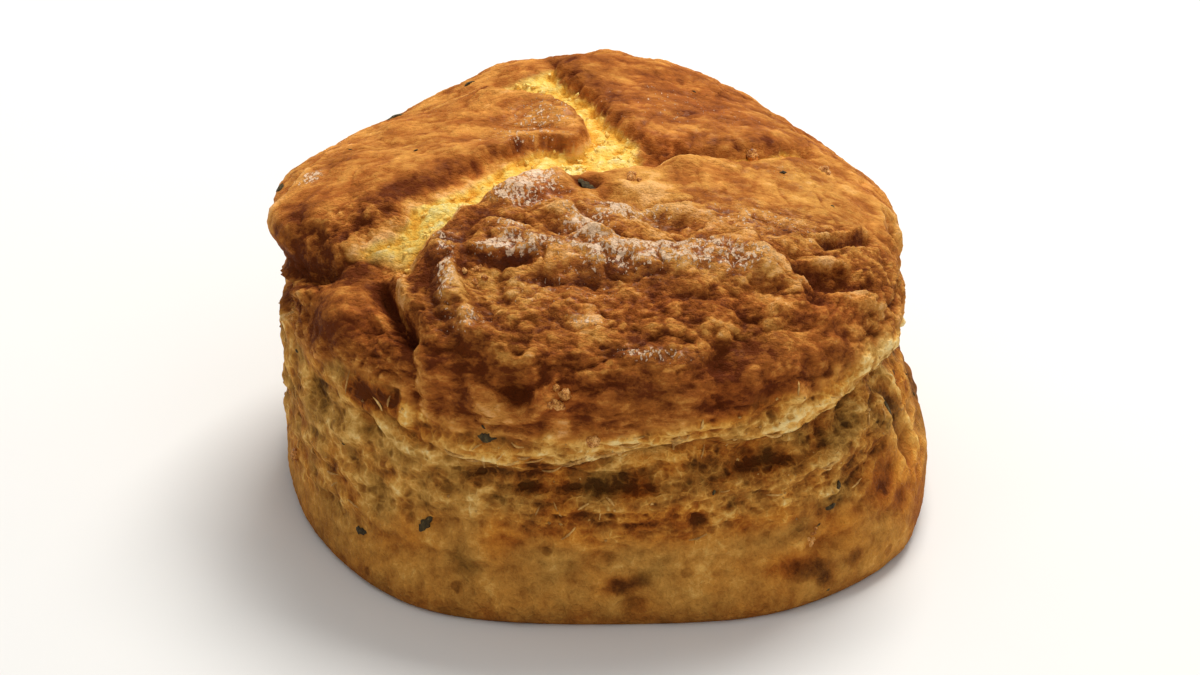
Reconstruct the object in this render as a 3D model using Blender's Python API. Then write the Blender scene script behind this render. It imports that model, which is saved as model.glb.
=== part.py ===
"""A round savoury scone with pork crackling baked into it, as one faceted solid.

Units in this file are millimetres and degrees until the mesh is written in metres. +Z is up, the scone
rests on Z = 0 with the origin under its middle, -Y is its front and azimuths turn from +X towards +Y.
"""

import math
from typing import NamedTuple

import bmesh
import bpy
import numpy as np
from mathutils import Vector, noise
from mathutils.bvhtree import BVHTree

MM = 0.001
GRID = 72
TRIANGLES = 11400

# The section of the plain round body, from the middle of the top to the edge of the base: radius, height
SECTION = (
    (0.0, 38.6),
    (10.0, 38.4),
    (20.0, 37.5),
    (28.0, 35.8),
    (33.5, 33.2),
    (36.6, 30.2),
    (37.5, 26.5),
    (37.3, 20.0),
    (37.3, 14.0),
    (37.8, 8.0),
    (38.2, 3.6),
    (37.9, 1.0),
    (37.1, 0.0),
)
SQUARENESS = 2.28
BASE_SHARE = 0.15
BASE_FLAT = 0.08
CRUST_LINE = 24.5
CRUST_COLOUR = (0.36, 0.16, 0.045)
CRUST_ROUGHNESS = 0.5


class Swelling(NamedTuple):
    """The wall stands out, or in, round one place."""

    azimuth: float
    height: float
    spread: float
    tall: float
    by: float


class Hill(NamedTuple):
    """The top stands up, or down, round one place in plan."""

    x: float
    y: float
    radius: float
    by: float


class Plate(NamedTuple):
    """A part of the crust that lifted as the scone burst. It lies to the left of its edge from above.

    Its slopes give the share of the section's width that its edge takes, at shares of the way along.
    """

    edge: tuple
    rise: tuple
    slopes: tuple
    tapers: tuple


class Seam(NamedTuple):
    """A crease or a ridge: one section run along a line, whose points are x, y or azimuth, height."""

    where: str
    line: tuple
    section: tuple
    taper: float


class Pock(NamedTuple):
    """An oval dent, or a lump where it stands out."""

    where: str
    place: tuple
    across: float
    tall: float
    by: float


SWELLINGS = (
    Swelling(azimuth=172, height=34.0, spread=22, tall=4.2, by=3.5),
    Swelling(azimuth=-36, height=3, spread=22, tall=11, by=2.4),
    Swelling(azimuth=-156, height=4, spread=26, tall=9, by=-1.3),
    Swelling(azimuth=177, height=27.6, spread=20, tall=3.2, by=-2.6),
    Swelling(azimuth=-174, height=18, spread=30, tall=8, by=0.6),
    Swelling(azimuth=-120, height=0, spread=15, tall=4.5, by=1.1),
    Swelling(azimuth=-62, height=0, spread=13, tall=4.5, by=1.0),
    Swelling(azimuth=2, height=6.5, spread=24, tall=7, by=0.9),
    Swelling(azimuth=-6, height=24.5, spread=24, tall=7, by=-4.1),
    Swelling(azimuth=12, height=13.5, spread=24, tall=4, by=-2.0),
    Swelling(azimuth=45, height=33, spread=20, tall=6, by=-1.0),
)
HILLS = (
    Hill(x=-32, y=7, radius=14, by=1.0),
    Hill(x=34, y=5, radius=22, by=-1.6),
    Hill(x=30, y=26, radius=14, by=-1.6),
    Hill(x=-26, y=26, radius=10, by=-0.3),
    Hill(x=-35, y=16, radius=7, by=-0.8),
    Hill(x=-3, y=36, radius=15, by=4.3),
    Hill(x=15, y=33, radius=9, by=1.7),
    Hill(x=1, y=36, radius=4, by=1.2),
    Hill(x=-13, y=33, radius=8, by=1.0),
    Hill(x=-4, y=33, radius=3.5, by=-1.0),
)

LEFT_EDGE = (
    (-40.0, -10.0), (-36.0, -11.6), (-33.0, -13.4), (-30.4, -14.6), (-28.0, -14.2), (-26.0, -13.3),
    (-23.4, -12.8), (-21.8, -11.0), (-21.2, -8.4), (-19.4, -7.2), (-17.1, -6.0), (-15.0, -4.0),
    (-13.0, -1.6), (-11.2, 0.9), (-9.6, 3.0), (-7.6, 4.3), (-5.1, 4.8), (-2.9, 4.9), (-1.4, 6.6),
    (-1.2, 10.0), (-2.7, 14.2), (-4.6, 17.4), (-7.0, 19.2), (-9.8, 20.6), (-11.8, 22.8), (-13.5, 26.0),
)
REAR_EDGE = (
    (-8.5, 31.0), (-6.8, 28.6), (-5.2, 25.0), (-3.3, 21.2), (-1.5, 18.1), (0.1, 14.3), (1.4, 11.3),
    (3.0, 8.5), (4.5, 6.4), (6.0, 5.6), (7.6, 5.4), (9.4, 5.7), (11.8, 5.9), (15.0, 6.1), (18.0, 6.9),
    (20.5, 8.5), (24.3, 11.0), (31.0, 13.0),
)
FRONT_EDGE = (
    (30.0, 12.6), (24.5, 10.0), (20.5, 7.4), (17.0, 5.4), (14.0, 4.8), (11.6, 4.9), (9.6, 4.2),
    (8.0, 2.6), (6.2, 1.2), (3.8, 1.2), (1.1, 0.2), (-1.4, -0.2), (-3.2, -1.4), (-5.6, -2.1), (-7.4, -3.0),
    (-9.6, -3.1), (-11.4, -3.9), (-12.5, -6.1), (-14.0, -8.2), (-15.8, -9.8), (-17.2, -11.8), (-18.6, -13.3),
    (-19.8, -15.2), (-20.9, -17.5), (-21.8, -19.8), (-22.8, -22.4), (-22.4, -26.0), (-20.6, -30.0),
    (-19.6, -36.0),
)
PLATES = (
    Plate(
        edge=LEFT_EDGE,
        rise=((-0.4, 0.0), (0.4, 0.7), (2.0, 1.5), (3.6, 2.6), (5.0, 3.0), (8.0, 2.9), (14.0, 2.2),
              (24.0, 1.3)),
        slopes=((0.0, 1.0), (0.42, 1.0), (0.54, 0.3), (1.0, 0.4)),
        tapers=(0.1, 6.0),
    ),
    Plate(
        edge=REAR_EDGE,
        rise=((-0.2, 0.0), (0.5, 1.2), (1.4, 2.1), (3.2, 2.5), (8.0, 2.4), (16.0, 1.8), (26.0, 1.3)),
        slopes=((0.0, 1.0), (1.0, 1.0)),
        tapers=(6.0, 14.0),
    ),
    Plate(
        edge=FRONT_EDGE,
        rise=((-0.6, 0.0), (0.1, 0.7), (1.0, 1.4), (3.2, 1.8), (7.0, 1.5), (14.0, 1.3)),
        slopes=((0.0, 1.0), (1.0, 1.0)),
        tapers=(12.0, 4.0),
    ),
)
PLATE_LEVEL = 1.3

SEAMS = (
    # The block low on the left, and the creases that part it from the crust round it
    Seam("top", ((-25.6, -18.6), (-24.6, -22.0), (-23.0, -25.4), (-21.4, -28.2), (-20.3, -31.0)),
         ((-1.8, 0.3), (-1.0, -0.6), (-0.3, -2.3), (0.4, -2.3), (1.1, -0.4), (2.2, 0.4)), 2.5),
    Seam("wall", ((-148, 34.6), (-156, 33.2), (-165, 31.4), (-175, 29.6), (176, 28.6), (164, 28.8)),
         ((-2.6, 0.3), (-1.5, -0.6), (-0.6, -2.2), (0.5, -2.4), (1.5, -0.9), (3.0, 0.5)), 7.0),
    # The folds of the front crust
    Seam("top", ((-13.5, -10.8), (-10.5, -8.2), (-6.6, -5.2), (-3.2, -3.2)),
         ((-3.0, 0.0), (-1.0, 1.2), (0.6, 1.3), (2.6, 0.0)), 2.0),
    Seam("top", ((-15.5, -15.6), (-11.0, -17.6), (-6.6, -19.0), (-2.0, -20.2), (3.0, -20.8), (9.0, -21.6),
                 (15.0, -19.6), (20.0, -17.6)),
         ((-5.4, -0.4), (-2.4, 1.1), (0.0, 1.8), (2.2, 1.3), (4.0, -0.5)), 3.0),
    Seam("top", ((-7.0, -9.6), (-4.0, -13.0), (-1.1, -16.3), (2.0, -19.6)),
         ((-2.6, -0.3), (-0.8, 1.0), (0.8, 1.1), (2.2, -0.4)), 2.0),
    Seam("top", ((-0.5, -5.0), (3.5, -8.6), (7.5, -12.0), (12.5, -13.2)),
         ((-2.4, 0.0), (-0.6, -1.1), (0.6, -1.1), (2.0, 0.0)), 2.0),
    # The torn blister: its crevice and the ridge round its left and front
    Seam("top", ((-15.8, -19.2), (-13.5, -20.8), (-11.0, -21.3), (-8.4, -21.2), (-5.8, -21.0)),
         ((-1.2, 0.0), (-0.4, -0.9), (0.4, -1.0), (1.0, 0.2)), 2.0),
    Seam("top", ((-17.2, -17.0), (-16.8, -22.0), (-15.8, -26.6), (-14.0, -29.7), (-11.4, -32.0),
                 (-8.0, -33.2)),
         ((-2.4, 0.0), (-0.8, 1.2), (0.5, 1.3), (1.6, 0.0)), 2.5),
    # The creases at the right of the front crust
    Seam("top", ((24.2, -14.2), (26.6, -12.4), (28.9, -9.9), (30.2, -8.0), (32.0, -5.6)),
         ((-1.6, 0.3), (-0.5, -1.2), (0.4, -1.4), (1.3, 0.5), (2.6, 0.3)), 2.0),
    Seam("top", ((20.2, -20.4), (22.4, -19.9), (24.4, -19.0), (26.8, -17.8), (29.0, -17.4)),
         ((-1.8, 0.0), (-0.6, -1.6), (0.5, -1.6), (1.6, 0.4), (3.0, 0.0)), 2.0),
    Seam("wall", ((-47, 33.6), (-40, 34.2), (-34, 33.0), (-28, 31.6)),
         ((-2.4, 0.8), (-1.2, 0.4), (-0.3, -1.5), (0.7, -1.2), (2.0, 0.3)), 3.0),
    Seam("wall", ((-57, 35.0), (-61, 33.4), (-66, 32.2), (-72, 31.4)),
         ((-2.4, 0.0), (-0.8, -1.3), (0.8, -1.3), (2.4, 0.0)), 2.5),
    # The lip at the foot of the crust, the torn hollow under it and the ragged layer below that
    Seam("wall", ((-122, 20.6), (-108, 21.4), (-97, 21.6), (-88, 22.8), (-78, 24.0), (-71, 24.2), (-65, 23.5),
                  (-58, 23.3), (-50, 24.2), (-44, 25.2), (-36, 26.4), (-28, 26.4), (-20, 25.6), (-8, 25.0)),
         ((-7.0, 0.0), (-4.6, -1.3), (-2.4, -1.7), (-0.9, -0.6), (0.0, 0.8), (1.5, 1.1), (3.0, 0.7),
          (4.8, 0.2)), 7.0),
    Seam("wall", ((-108, 16.2), (-97, 15.9), (-85, 16.0), (-73, 16.7), (-62, 17.0), (-50, 17.6)),
         ((-2.4, 0.0), (-0.7, 0.5), (0.3, 0.4), (1.0, -0.7), (2.4, -0.8), (3.8, 0.0)), 4.0),
    # The valley between the front wall and the foot that bulges behind it on the right
    Seam("wall", ((-23, 8.0), (-24, 12.2), (-26, 18.1), (-29, 24.2)),
         ((-3.0, 0.3), (-1.0, -0.9), (0.4, -1.2), (3.0, 0.0)), 4.0),
    # Loose strands standing up the left of the front wall
    Seam("wall", ((-124, 28.6), (-124, 25.0), (-125, 21.6)),
         ((-1.4, -0.3), (-0.4, 0.4), (0.4, 0.4), (1.4, -0.3)), 1.5),
    Seam("wall", ((-134, 24.8), (-126, 20.6), (-116, 19.4)),
         ((-1.4, -0.2), (-0.3, 0.5), (0.5, 0.5), (1.4, -0.4)), 2.0),
)

POCKS = (
    Pock("top", (-11.8, -25.8), 3.6, 3.6, -0.9),
    Pock("top", (-1.3, -4.4), 1.3, 1.3, -1.4),
    Pock("top", (8.2, 3.4), 1.8, 1.5, -1.2),
    Pock("top", (2.2, -5.6), 1.5, 1.5, 0.7),
    Pock("top", (5.6, -5.8), 1.6, 1.4, 0.7),
    Pock("top", (4.5, -11.0), 2.2, 1.8, -0.6),
    Pock("top", (19.6, -21.0), 3.2, 2.6, 1.0),
    Pock("top", (-29.6, -21.4), 3.6, 3.2, 1.2),
    Pock("top", (9.6, 1.0), 2.4, 2.0, 0.8),
    Pock("top", (14.6, 1.6), 2.2, 1.4, 0.6),
    Pock("top", (3.6, -10.2), 3.4, 2.2, 0.6),
    Pock("top", (24.4, -23.4), 1.8, 1.5, -0.8),
    Pock("top", (-1.6, -30.6), 2.0, 1.2, 0.5),
    Pock("top", (5.0, -31.8), 3.4, 1.2, -0.6),
    Pock("wall", (-113, 31.6), 2.2, 2.4, -0.8),
    Pock("wall", (-101, 28.4), 1.6, 1.4, 0.6),
    Pock("wall", (-90, 20.4), 2.0, 1.2, -0.7),
    Pock("wall", (-81, 20.9), 3.0, 1.8, -1.0),
    Pock("wall", (-72, 21.4), 2.2, 1.6, -0.8),
    Pock("wall", (-61, 19.9), 2.8, 1.6, -0.9),
    Pock("wall", (-49, 20.6), 2.6, 2.0, -0.8),
    Pock("wall", (-40, 22.0), 2.2, 3.0, -0.8),
    Pock("wall", (-20, 25.6), 1.4, 1.2, 1.3),
    Pock("wall", (-86, 18.4), 3.2, 1.2, -0.5),
    Pock("wall", (-73, 13.2), 1.2, 1.0, -0.7),
    Pock("wall", (-84, 3.2), 1.6, 1.2, -0.6),
    Pock("wall", (-50, 7.4), 2.6, 1.2, -0.5),
    Pock("wall", (-146, 22.0), 2.2, 2.0, -0.8),
    Pock("wall", (-133, 21.4), 2.0, 1.6, -0.9),
    Pock("wall", (-160, 17.0), 1.8, 2.2, -0.6),
)


def smooth_curve(points, steps):
    """A Catmull-Rom curve through the points, with steps to each span."""
    points = np.array(points, float)
    ends = np.vstack([2 * points[0] - points[1], points, 2 * points[-1] - points[-2]])
    t = np.linspace(0, 1, steps, endpoint=False)[:, None]
    spans = [
        0.5 * (2 * b + (c - a) * t + (2 * a - 5 * b + 4 * c - d) * t**2 + (3 * b - a - 3 * c + d) * t**3)
        for a, b, c, d in zip(ends, ends[1:], ends[2:], ends[3:])
    ]
    return np.vstack([*spans, points[-1:]])


def smooth_step(low, high, value):
    t = np.clip((value - low) / (high - low), 0, 1)
    return t * t * (3 - 2 * t)


def read(mesh, what):
    flat = np.empty(len(mesh.vertices) * 3)
    mesh.vertices.foreach_get(what, flat)
    return flat.reshape(-1, 3)


def move_to(mesh, points):
    mesh.vertices.foreach_set("co", points.ravel())
    mesh.update()


def ball_of_quads(cuts):
    """A cube cut into a grid and blown up to a unit ball, whose quads are of nearly one size."""
    mesh = bpy.data.meshes.new("scone")
    work = bmesh.new()
    bmesh.ops.create_cube(work, size=2.0)
    bmesh.ops.subdivide_edges(work, edges=work.edges, cuts=cuts - 1, use_grid_fill=True)
    work.to_mesh(mesh)
    work.free()
    points = np.tan(read(mesh, "co") * math.pi / 4)
    move_to(mesh, points / np.linalg.norm(points, axis=1)[:, None])
    return mesh


def plain_body(directions):
    """The body before it cracks: the section swept round, then swollen and heaped."""
    section = np.vstack([smooth_curve(SECTION, 24), [(0.0, 0.0)]])
    step = np.linalg.norm(np.diff(section, axis=0), axis=1)
    middle = (section[1:] + section[:-1]) / 2
    share_of_quads = np.where(middle[:, 1] == 0.0, BASE_SHARE, 1.0)
    reach = np.concatenate([[0], np.cumsum(middle[:, 0] * step * share_of_quads)])
    along = (1 - directions[:, 2]) / 2 * reach[-1]
    radius = np.interp(along, reach, section[:, 0])
    height = np.maximum(np.interp(along, reach, section[:, 1]), 0.0)
    azimuth = np.arctan2(directions[:, 1], directions[:, 0])
    corners = np.abs(np.cos(azimuth)) ** SQUARENESS + np.abs(np.sin(azimuth)) ** SQUARENESS
    radius *= corners ** (-1 / SQUARENESS)
    near_wall = smooth_step(10, 34, radius)
    for s in SWELLINGS:
        turn = (np.degrees(azimuth) - s.azimuth + 180) % 360 - 180
        radius += s.by * near_wall * np.exp(-((turn / s.spread) ** 2) - ((height - s.height) / s.tall) ** 2)
    x, y = radius * np.cos(azimuth), radius * np.sin(azimuth)
    near_top = smooth_step(14, 34, height)
    for h in HILLS:
        height += h.by * near_top * np.exp(-((x - h.x) ** 2 + (y - h.y) ** 2) / h.radius**2)
    return np.stack([x, y, height], axis=1)


def skin_of(mesh):
    """A mesh's surface, for finding places on it."""
    faces = [tuple(face.vertices) for face in mesh.polygons]
    return BVHTree.FromPolygons([Vector(point) for point in read(mesh, "co")], faces)


def place_on(skin, where, pair):
    """The point and the outward direction of the plain body at x, y or at azimuth, height."""
    if where == "top":
        start, way = Vector((*pair, 90)), Vector((0, 0, -1))
    else:
        out = Vector((math.cos(math.radians(pair[0])), math.sin(math.radians(pair[0])), 0))
        start, way = out * 90 + Vector((0, 0, pair[1])), -out
    point, normal, _, _ = skin.ray_cast(start, way)
    return np.array(point), np.array(normal)


def across(points, line, normals):
    """For each point: its distance to the left of the line, how far along it lies, and the line's length."""
    spans = np.diff(line, axis=0)
    lengths = np.linalg.norm(spans, axis=1)
    starts = np.concatenate([[0], np.cumsum(lengths)])
    nearest = np.full(len(points), np.inf)
    side = np.zeros(len(points))
    along = np.zeros(len(points))
    for corner, normal, span, length, start in zip(line, normals, spans, lengths, starts):
        t = np.clip(((points - corner) @ span) / length**2, 0, 1)
        gap = points - corner - t[:, None] * span
        distance = np.linalg.norm(gap, axis=1)
        nearer = distance < nearest
        nearest[nearer] = distance[nearer]
        side[nearer] = np.sign(gap[nearer] @ np.cross(normal, span))
        along[nearer] = start + t[nearer] * length
    return nearest * side, along, starts[-1]


def plates_rise(points):
    """How far the lifted parts of the crust stand over the crumb."""
    total = np.zeros(len(points))
    top = smooth_step(24, 33, points[:, 2])
    for plate in PLATES:
        line = smooth_curve(plate.edge, 4)
        line = np.column_stack([line, np.zeros(len(line))])
        upright = np.tile((0.0, 0.0, 1.0), (len(line), 1))
        inside, along, length = across(points * (1, 1, 0), line, upright)
        width = np.interp(along / length, *np.array(plate.slopes).T)
        rise = np.interp(inside / width, *np.array(plate.rise).T)
        first, last = plate.tapers
        kept = smooth_step(0, first, along) * smooth_step(0, last, length - along)
        total = np.maximum(total, (PLATE_LEVEL + (rise - PLATE_LEVEL) * kept) * top)
    return total


def seams_rise(skin, points):
    total = np.zeros(len(points))
    for seam in SEAMS:
        places = [place_on(skin, seam.where, pair) for pair in smooth_curve(seam.line, 4)]
        line, normals = (np.array(part) for part in zip(*places))
        side, along, length = across(points, line, normals)
        offset, rise = np.array(seam.section).T
        rise = np.interp(side, (offset[0] - 1, *offset, offset[-1] + 1), (0, *rise, 0))
        total += rise * smooth_step(0, seam.taper, along) * smooth_step(0, seam.taper, length - along)
    return total


def pocks_rise(skin, points):
    total = np.zeros(len(points))
    for pock in POCKS:
        centre, out = place_on(skin, pock.where, pock.place)
        up = np.array((0.0, 1.0, 0.0) if pock.where == "top" else (0.0, 0.0, 1.0))
        sideways = np.cross(up, out)
        sideways /= np.linalg.norm(sideways)
        gap = points - centre
        oval = ((gap @ sideways) / pock.across) ** 2 + ((gap @ np.cross(out, sideways)) / pock.tall) ** 2
        oval += ((gap @ out) / (pock.across + pock.tall)) ** 2
        total += pock.by * np.exp(-(oval**1.5))
    return total


def grain(points, size, seed, octaves):
    """Uneven ground of about one unit either way, whose lumps are the size given."""
    shift = Vector((seed * 17.3, seed * 5.1, seed * 9.7))
    return np.array([noise.fractal(Vector(cell) + shift, 0.9, 2.1, octaves) for cell in points / size])


def ground(points):
    """The unevenness of the crust, of the crags on its front, of the torn wall and of the foot."""
    y, z = points[:, 1], points[:, 2]
    crust = smooth_step(CRUST_LINE - 1, CRUST_LINE + 3, z)
    front = crust * smooth_step(-2, -12, y)
    wall = (1 - crust) * smooth_step(3, 9, z)
    flat_layers = points * (1, 1, 1.7)
    return (
        grain(points, 9.0, 1, 2) * 0.5 * crust
        + grain(points, 4.8, 2, 2) * 0.85 * front
        + grain(flat_layers, 4.6, 3, 2) * 0.95 * wall
        + grain(points, 11.0, 4, 1) * 0.4 * (1 - crust)
    )


def torn_surface(mesh):
    """The plain body's points moved out and in to the plates, folds, creases, hollows and crags."""
    points = read(mesh, "co")
    skin = skin_of(mesh)
    rise = plates_rise(points) + seams_rise(skin, points) + pocks_rise(skin, points) + ground(points)
    rise *= smooth_step(0.0, 1.2, points[:, 2])
    points = points + read(mesh, "normal") * rise[:, None]
    points[:, 2] = np.maximum(points[:, 2], 0.0)
    return points


def baked_material():
    material = bpy.data.materials.new("baked scone")
    material.use_nodes = True
    shader = material.node_tree.nodes["Principled BSDF"]
    shader.inputs["Base Color"].default_value = (*CRUST_COLOUR, 1.0)
    shader.inputs["Roughness"].default_value = CRUST_ROUGHNESS
    shader.inputs["Metallic"].default_value = 0.0
    return material


def scone(parts):
    """The fine surface, lightened to the triangles that its relief needs, on an exactly flat base."""
    fine = ball_of_quads(GRID)
    move_to(fine, plain_body(read(fine, "co")))
    move_to(fine, torn_surface(fine))
    body = bpy.data.objects.new("scone", fine)
    parts.objects.link(body)
    lighten = body.modifiers.new("lighten", "DECIMATE")
    lighten.ratio = TRIANGLES / (2 * len(fine.polygons))
    light = bpy.data.meshes.new_from_object(body.evaluated_get(bpy.context.evaluated_depsgraph_get()))
    body.modifiers.clear()
    body.data = light
    points = read(light, "co")
    points[:, 2] = np.where(points[:, 2] < BASE_FLAT, 0.0, points[:, 2])
    move_to(light, points * MM)
    light.materials.append(baked_material())


def main():
    for old in list(bpy.data.objects):
        bpy.data.objects.remove(old)
    parts = bpy.data.collections.new("pork crackling scone")
    bpy.context.scene.collection.children.link(parts)
    scone(parts)


main()
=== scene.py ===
"""The looks of a round savoury scone with pork crackling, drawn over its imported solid.

Surface data is in millimetres and degrees, and a mesh is written in metres. +Z is up, the scone rests on
Z = 0 with the origin under its middle, -Y is its front and azimuths turn from +X towards +Y.
"""

import math
import random
from typing import NamedTuple

import bmesh
import bpy
import numpy as np
from bpy.props import FloatProperty, FloatVectorProperty, IntProperty, PointerProperty
from mathutils import Euler, Matrix, Vector, noise
from mathutils.bvhtree import BVHTree


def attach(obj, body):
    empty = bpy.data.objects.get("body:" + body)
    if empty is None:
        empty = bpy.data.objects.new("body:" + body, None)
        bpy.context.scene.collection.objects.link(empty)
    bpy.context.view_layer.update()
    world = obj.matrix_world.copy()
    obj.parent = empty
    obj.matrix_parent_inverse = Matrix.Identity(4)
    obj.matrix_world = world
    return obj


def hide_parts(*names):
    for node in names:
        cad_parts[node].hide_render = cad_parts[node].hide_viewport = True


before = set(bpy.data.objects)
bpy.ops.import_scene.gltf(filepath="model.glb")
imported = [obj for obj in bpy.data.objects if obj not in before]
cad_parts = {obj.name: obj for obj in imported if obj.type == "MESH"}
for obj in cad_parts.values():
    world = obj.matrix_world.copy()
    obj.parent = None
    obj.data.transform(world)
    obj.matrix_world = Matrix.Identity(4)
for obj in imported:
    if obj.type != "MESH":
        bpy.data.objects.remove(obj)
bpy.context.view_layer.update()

bl_info = {
    "name": "Pork Crackling Scone",
    "version": (1, 0, 0),
    "blender": (4, 5, 0),
    "location": "View3D > Sidebar > Scone",
    "description": "Bakes a burst, flaky savoury scone with its crumbs, torn strands, herbs and crackling",
    "category": "Add Mesh",
}

MM = 0.001
NODE = "scone"
BODY = "root"

# The section of the plain round body, from the middle of the top to the edge of the base: radius, height
SECTION = (
    (0.0, 38.6),
    (10.0, 38.4),
    (20.0, 37.5),
    (28.0, 35.8),
    (33.5, 33.2),
    (36.6, 30.2),
    (37.5, 26.5),
    (37.3, 20.0),
    (37.3, 14.0),
    (37.8, 8.0),
    (38.2, 3.6),
    (37.9, 1.0),
    (37.1, 0.0),
)
# The plan's power: 2 is a circle, and a higher one is squarer
SQUARENESS = 2.28
# How closely the mesh's squares lie on the base, as a share of how closely they lie elsewhere
BASE_SHARE = 0.15
# About where the crust ends on the wall
CRUST_LINE = 24.5


class Swelling(NamedTuple):
    """The wall stands out, or in, round one place."""

    azimuth: float
    height: float
    spread: float
    tall: float
    by: float


class Hill(NamedTuple):
    """The top stands up, or down, round one place in plan."""

    x: float
    y: float
    radius: float
    by: float


class Plate(NamedTuple):
    """A part of the crust that lifted as the scone burst, on the left of its edge seen from above.

    Its rise and its scorching are told by the distance in from the edge, and its slopes by the share of
    that distance that its edge takes, at shares of the way along.
    """

    edge: tuple
    rise: tuple
    scorch: tuple
    slopes: tuple
    tapers: tuple
    ragged: float


class Seam(NamedTuple):
    """A crease or a ridge: one section run along a line, whose points are x, y or azimuth, height."""

    where: str
    line: tuple
    section: tuple
    taper: float


class Pock(NamedTuple):
    """An oval dent, or a lump where it stands out."""

    where: str
    place: tuple
    across: float
    tall: float
    by: float


class Relief(NamedTuple):
    """One pattern of small relief on one region: the size of its lumps, their seed and their height.

    A pattern is stretched by squeezing the places that it is read at, and detail is a grain's octaves and
    its softness.
    """

    region: str
    pattern: str
    size: float
    seed: int
    high: float
    squeeze: tuple = (1, 1, 1)
    detail: tuple = ()


class Stain(NamedTuple):
    """An oval place where a mask is stronger or weaker."""

    where: str
    place: tuple
    across: float
    tall: float
    by: float


class Band(NamedTuple):
    """A stain along a line."""

    where: str
    line: tuple
    wide: float
    by: float


class Web(NamedTuple):
    """A web of dough on the wall, from azimuth, height to azimuth, height, wide at its start."""

    start: tuple
    end: tuple
    wide: float
    narrow: float


class Herb(NamedTuple):
    """A fleck of leaf that shows."""

    where: str
    place: tuple
    heading: float
    length: float
    width: float


class Crackling(NamedTuple):
    """A bit of crackling that shows, gathered from smaller blisters."""

    where: str
    place: tuple
    size: float


class Lamp(NamedTuple):
    """A square soft lamp and where it hangs. The studio sets its power under its name."""

    name: str
    azimuth: float
    elevation: float
    distance: float
    size: float
    colour: tuple


SWELLINGS = (
    Swelling(azimuth=172, height=34.0, spread=22, tall=4.2, by=3.5),
    Swelling(azimuth=-36, height=3, spread=22, tall=11, by=2.4),
    Swelling(azimuth=-156, height=4, spread=26, tall=9, by=-1.3),
    Swelling(azimuth=177, height=27.6, spread=20, tall=3.2, by=-2.6),
    Swelling(azimuth=-174, height=18, spread=30, tall=8, by=0.6),
    Swelling(azimuth=-120, height=0, spread=15, tall=4.5, by=1.1),
    Swelling(azimuth=-62, height=0, spread=13, tall=4.5, by=1.0),
    Swelling(azimuth=2, height=6.5, spread=24, tall=7, by=0.9),
    Swelling(azimuth=-6, height=24.5, spread=24, tall=7, by=-4.1),
    Swelling(azimuth=12, height=13.5, spread=24, tall=4, by=-2.0),
    Swelling(azimuth=45, height=33, spread=20, tall=6, by=-1.0),
)
HILLS = (
    Hill(x=-32, y=7, radius=14, by=1.0),
    Hill(x=34, y=5, radius=22, by=-1.6),
    Hill(x=30, y=26, radius=14, by=-1.6),
    Hill(x=-26, y=26, radius=10, by=-0.3),
    Hill(x=-35, y=16, radius=7, by=-0.8),
    Hill(x=-3, y=36, radius=15, by=4.3),
    Hill(x=15, y=33, radius=9, by=1.7),
    Hill(x=1, y=36, radius=4, by=1.2),
    Hill(x=-13, y=33, radius=8, by=1.0),
    Hill(x=-4, y=33, radius=3.5, by=-1.0),
)

LEFT_EDGE = (
    (-40.0, -10.0), (-36.0, -11.6), (-33.0, -13.4), (-30.4, -14.6), (-28.0, -14.2), (-26.0, -13.3),
    (-23.4, -12.8), (-21.8, -11.0), (-21.2, -8.4), (-19.4, -7.2), (-17.1, -6.0), (-15.0, -4.0),
    (-13.0, -1.6), (-11.2, 0.9), (-9.6, 3.0), (-7.6, 4.3), (-5.1, 4.8), (-2.9, 4.9), (-1.4, 6.6),
    (-1.2, 10.0), (-2.7, 14.2), (-4.6, 17.4), (-7.0, 19.2), (-9.8, 20.6), (-11.8, 22.8), (-13.5, 26.0),
)
REAR_EDGE = (
    (-8.5, 31.0), (-6.8, 28.6), (-5.2, 25.0), (-3.3, 21.2), (-1.5, 18.1), (0.1, 14.3), (1.4, 11.3),
    (3.0, 8.5), (4.5, 6.4), (6.0, 5.6), (7.6, 5.4), (9.4, 5.7), (11.8, 5.9), (15.0, 6.1), (18.0, 6.9),
    (20.5, 8.5), (24.3, 11.0), (31.0, 13.0),
)
FRONT_EDGE = (
    (30.0, 12.6), (24.5, 10.0), (20.5, 7.4), (17.0, 5.4), (14.0, 4.8), (11.6, 4.9), (9.6, 4.2),
    (8.0, 2.6), (6.2, 1.2), (3.8, 1.2), (1.1, 0.2), (-1.4, -0.2), (-3.2, -1.4), (-5.6, -2.1), (-7.4, -3.0),
    (-9.6, -3.1), (-11.4, -3.9), (-12.5, -6.1), (-14.0, -8.2), (-15.8, -9.8), (-17.2, -11.8), (-18.6, -13.3),
    (-19.8, -15.2), (-20.9, -17.5), (-21.8, -19.8), (-22.8, -22.4), (-22.4, -26.0), (-20.6, -30.0),
    (-19.6, -36.0),
)
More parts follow.
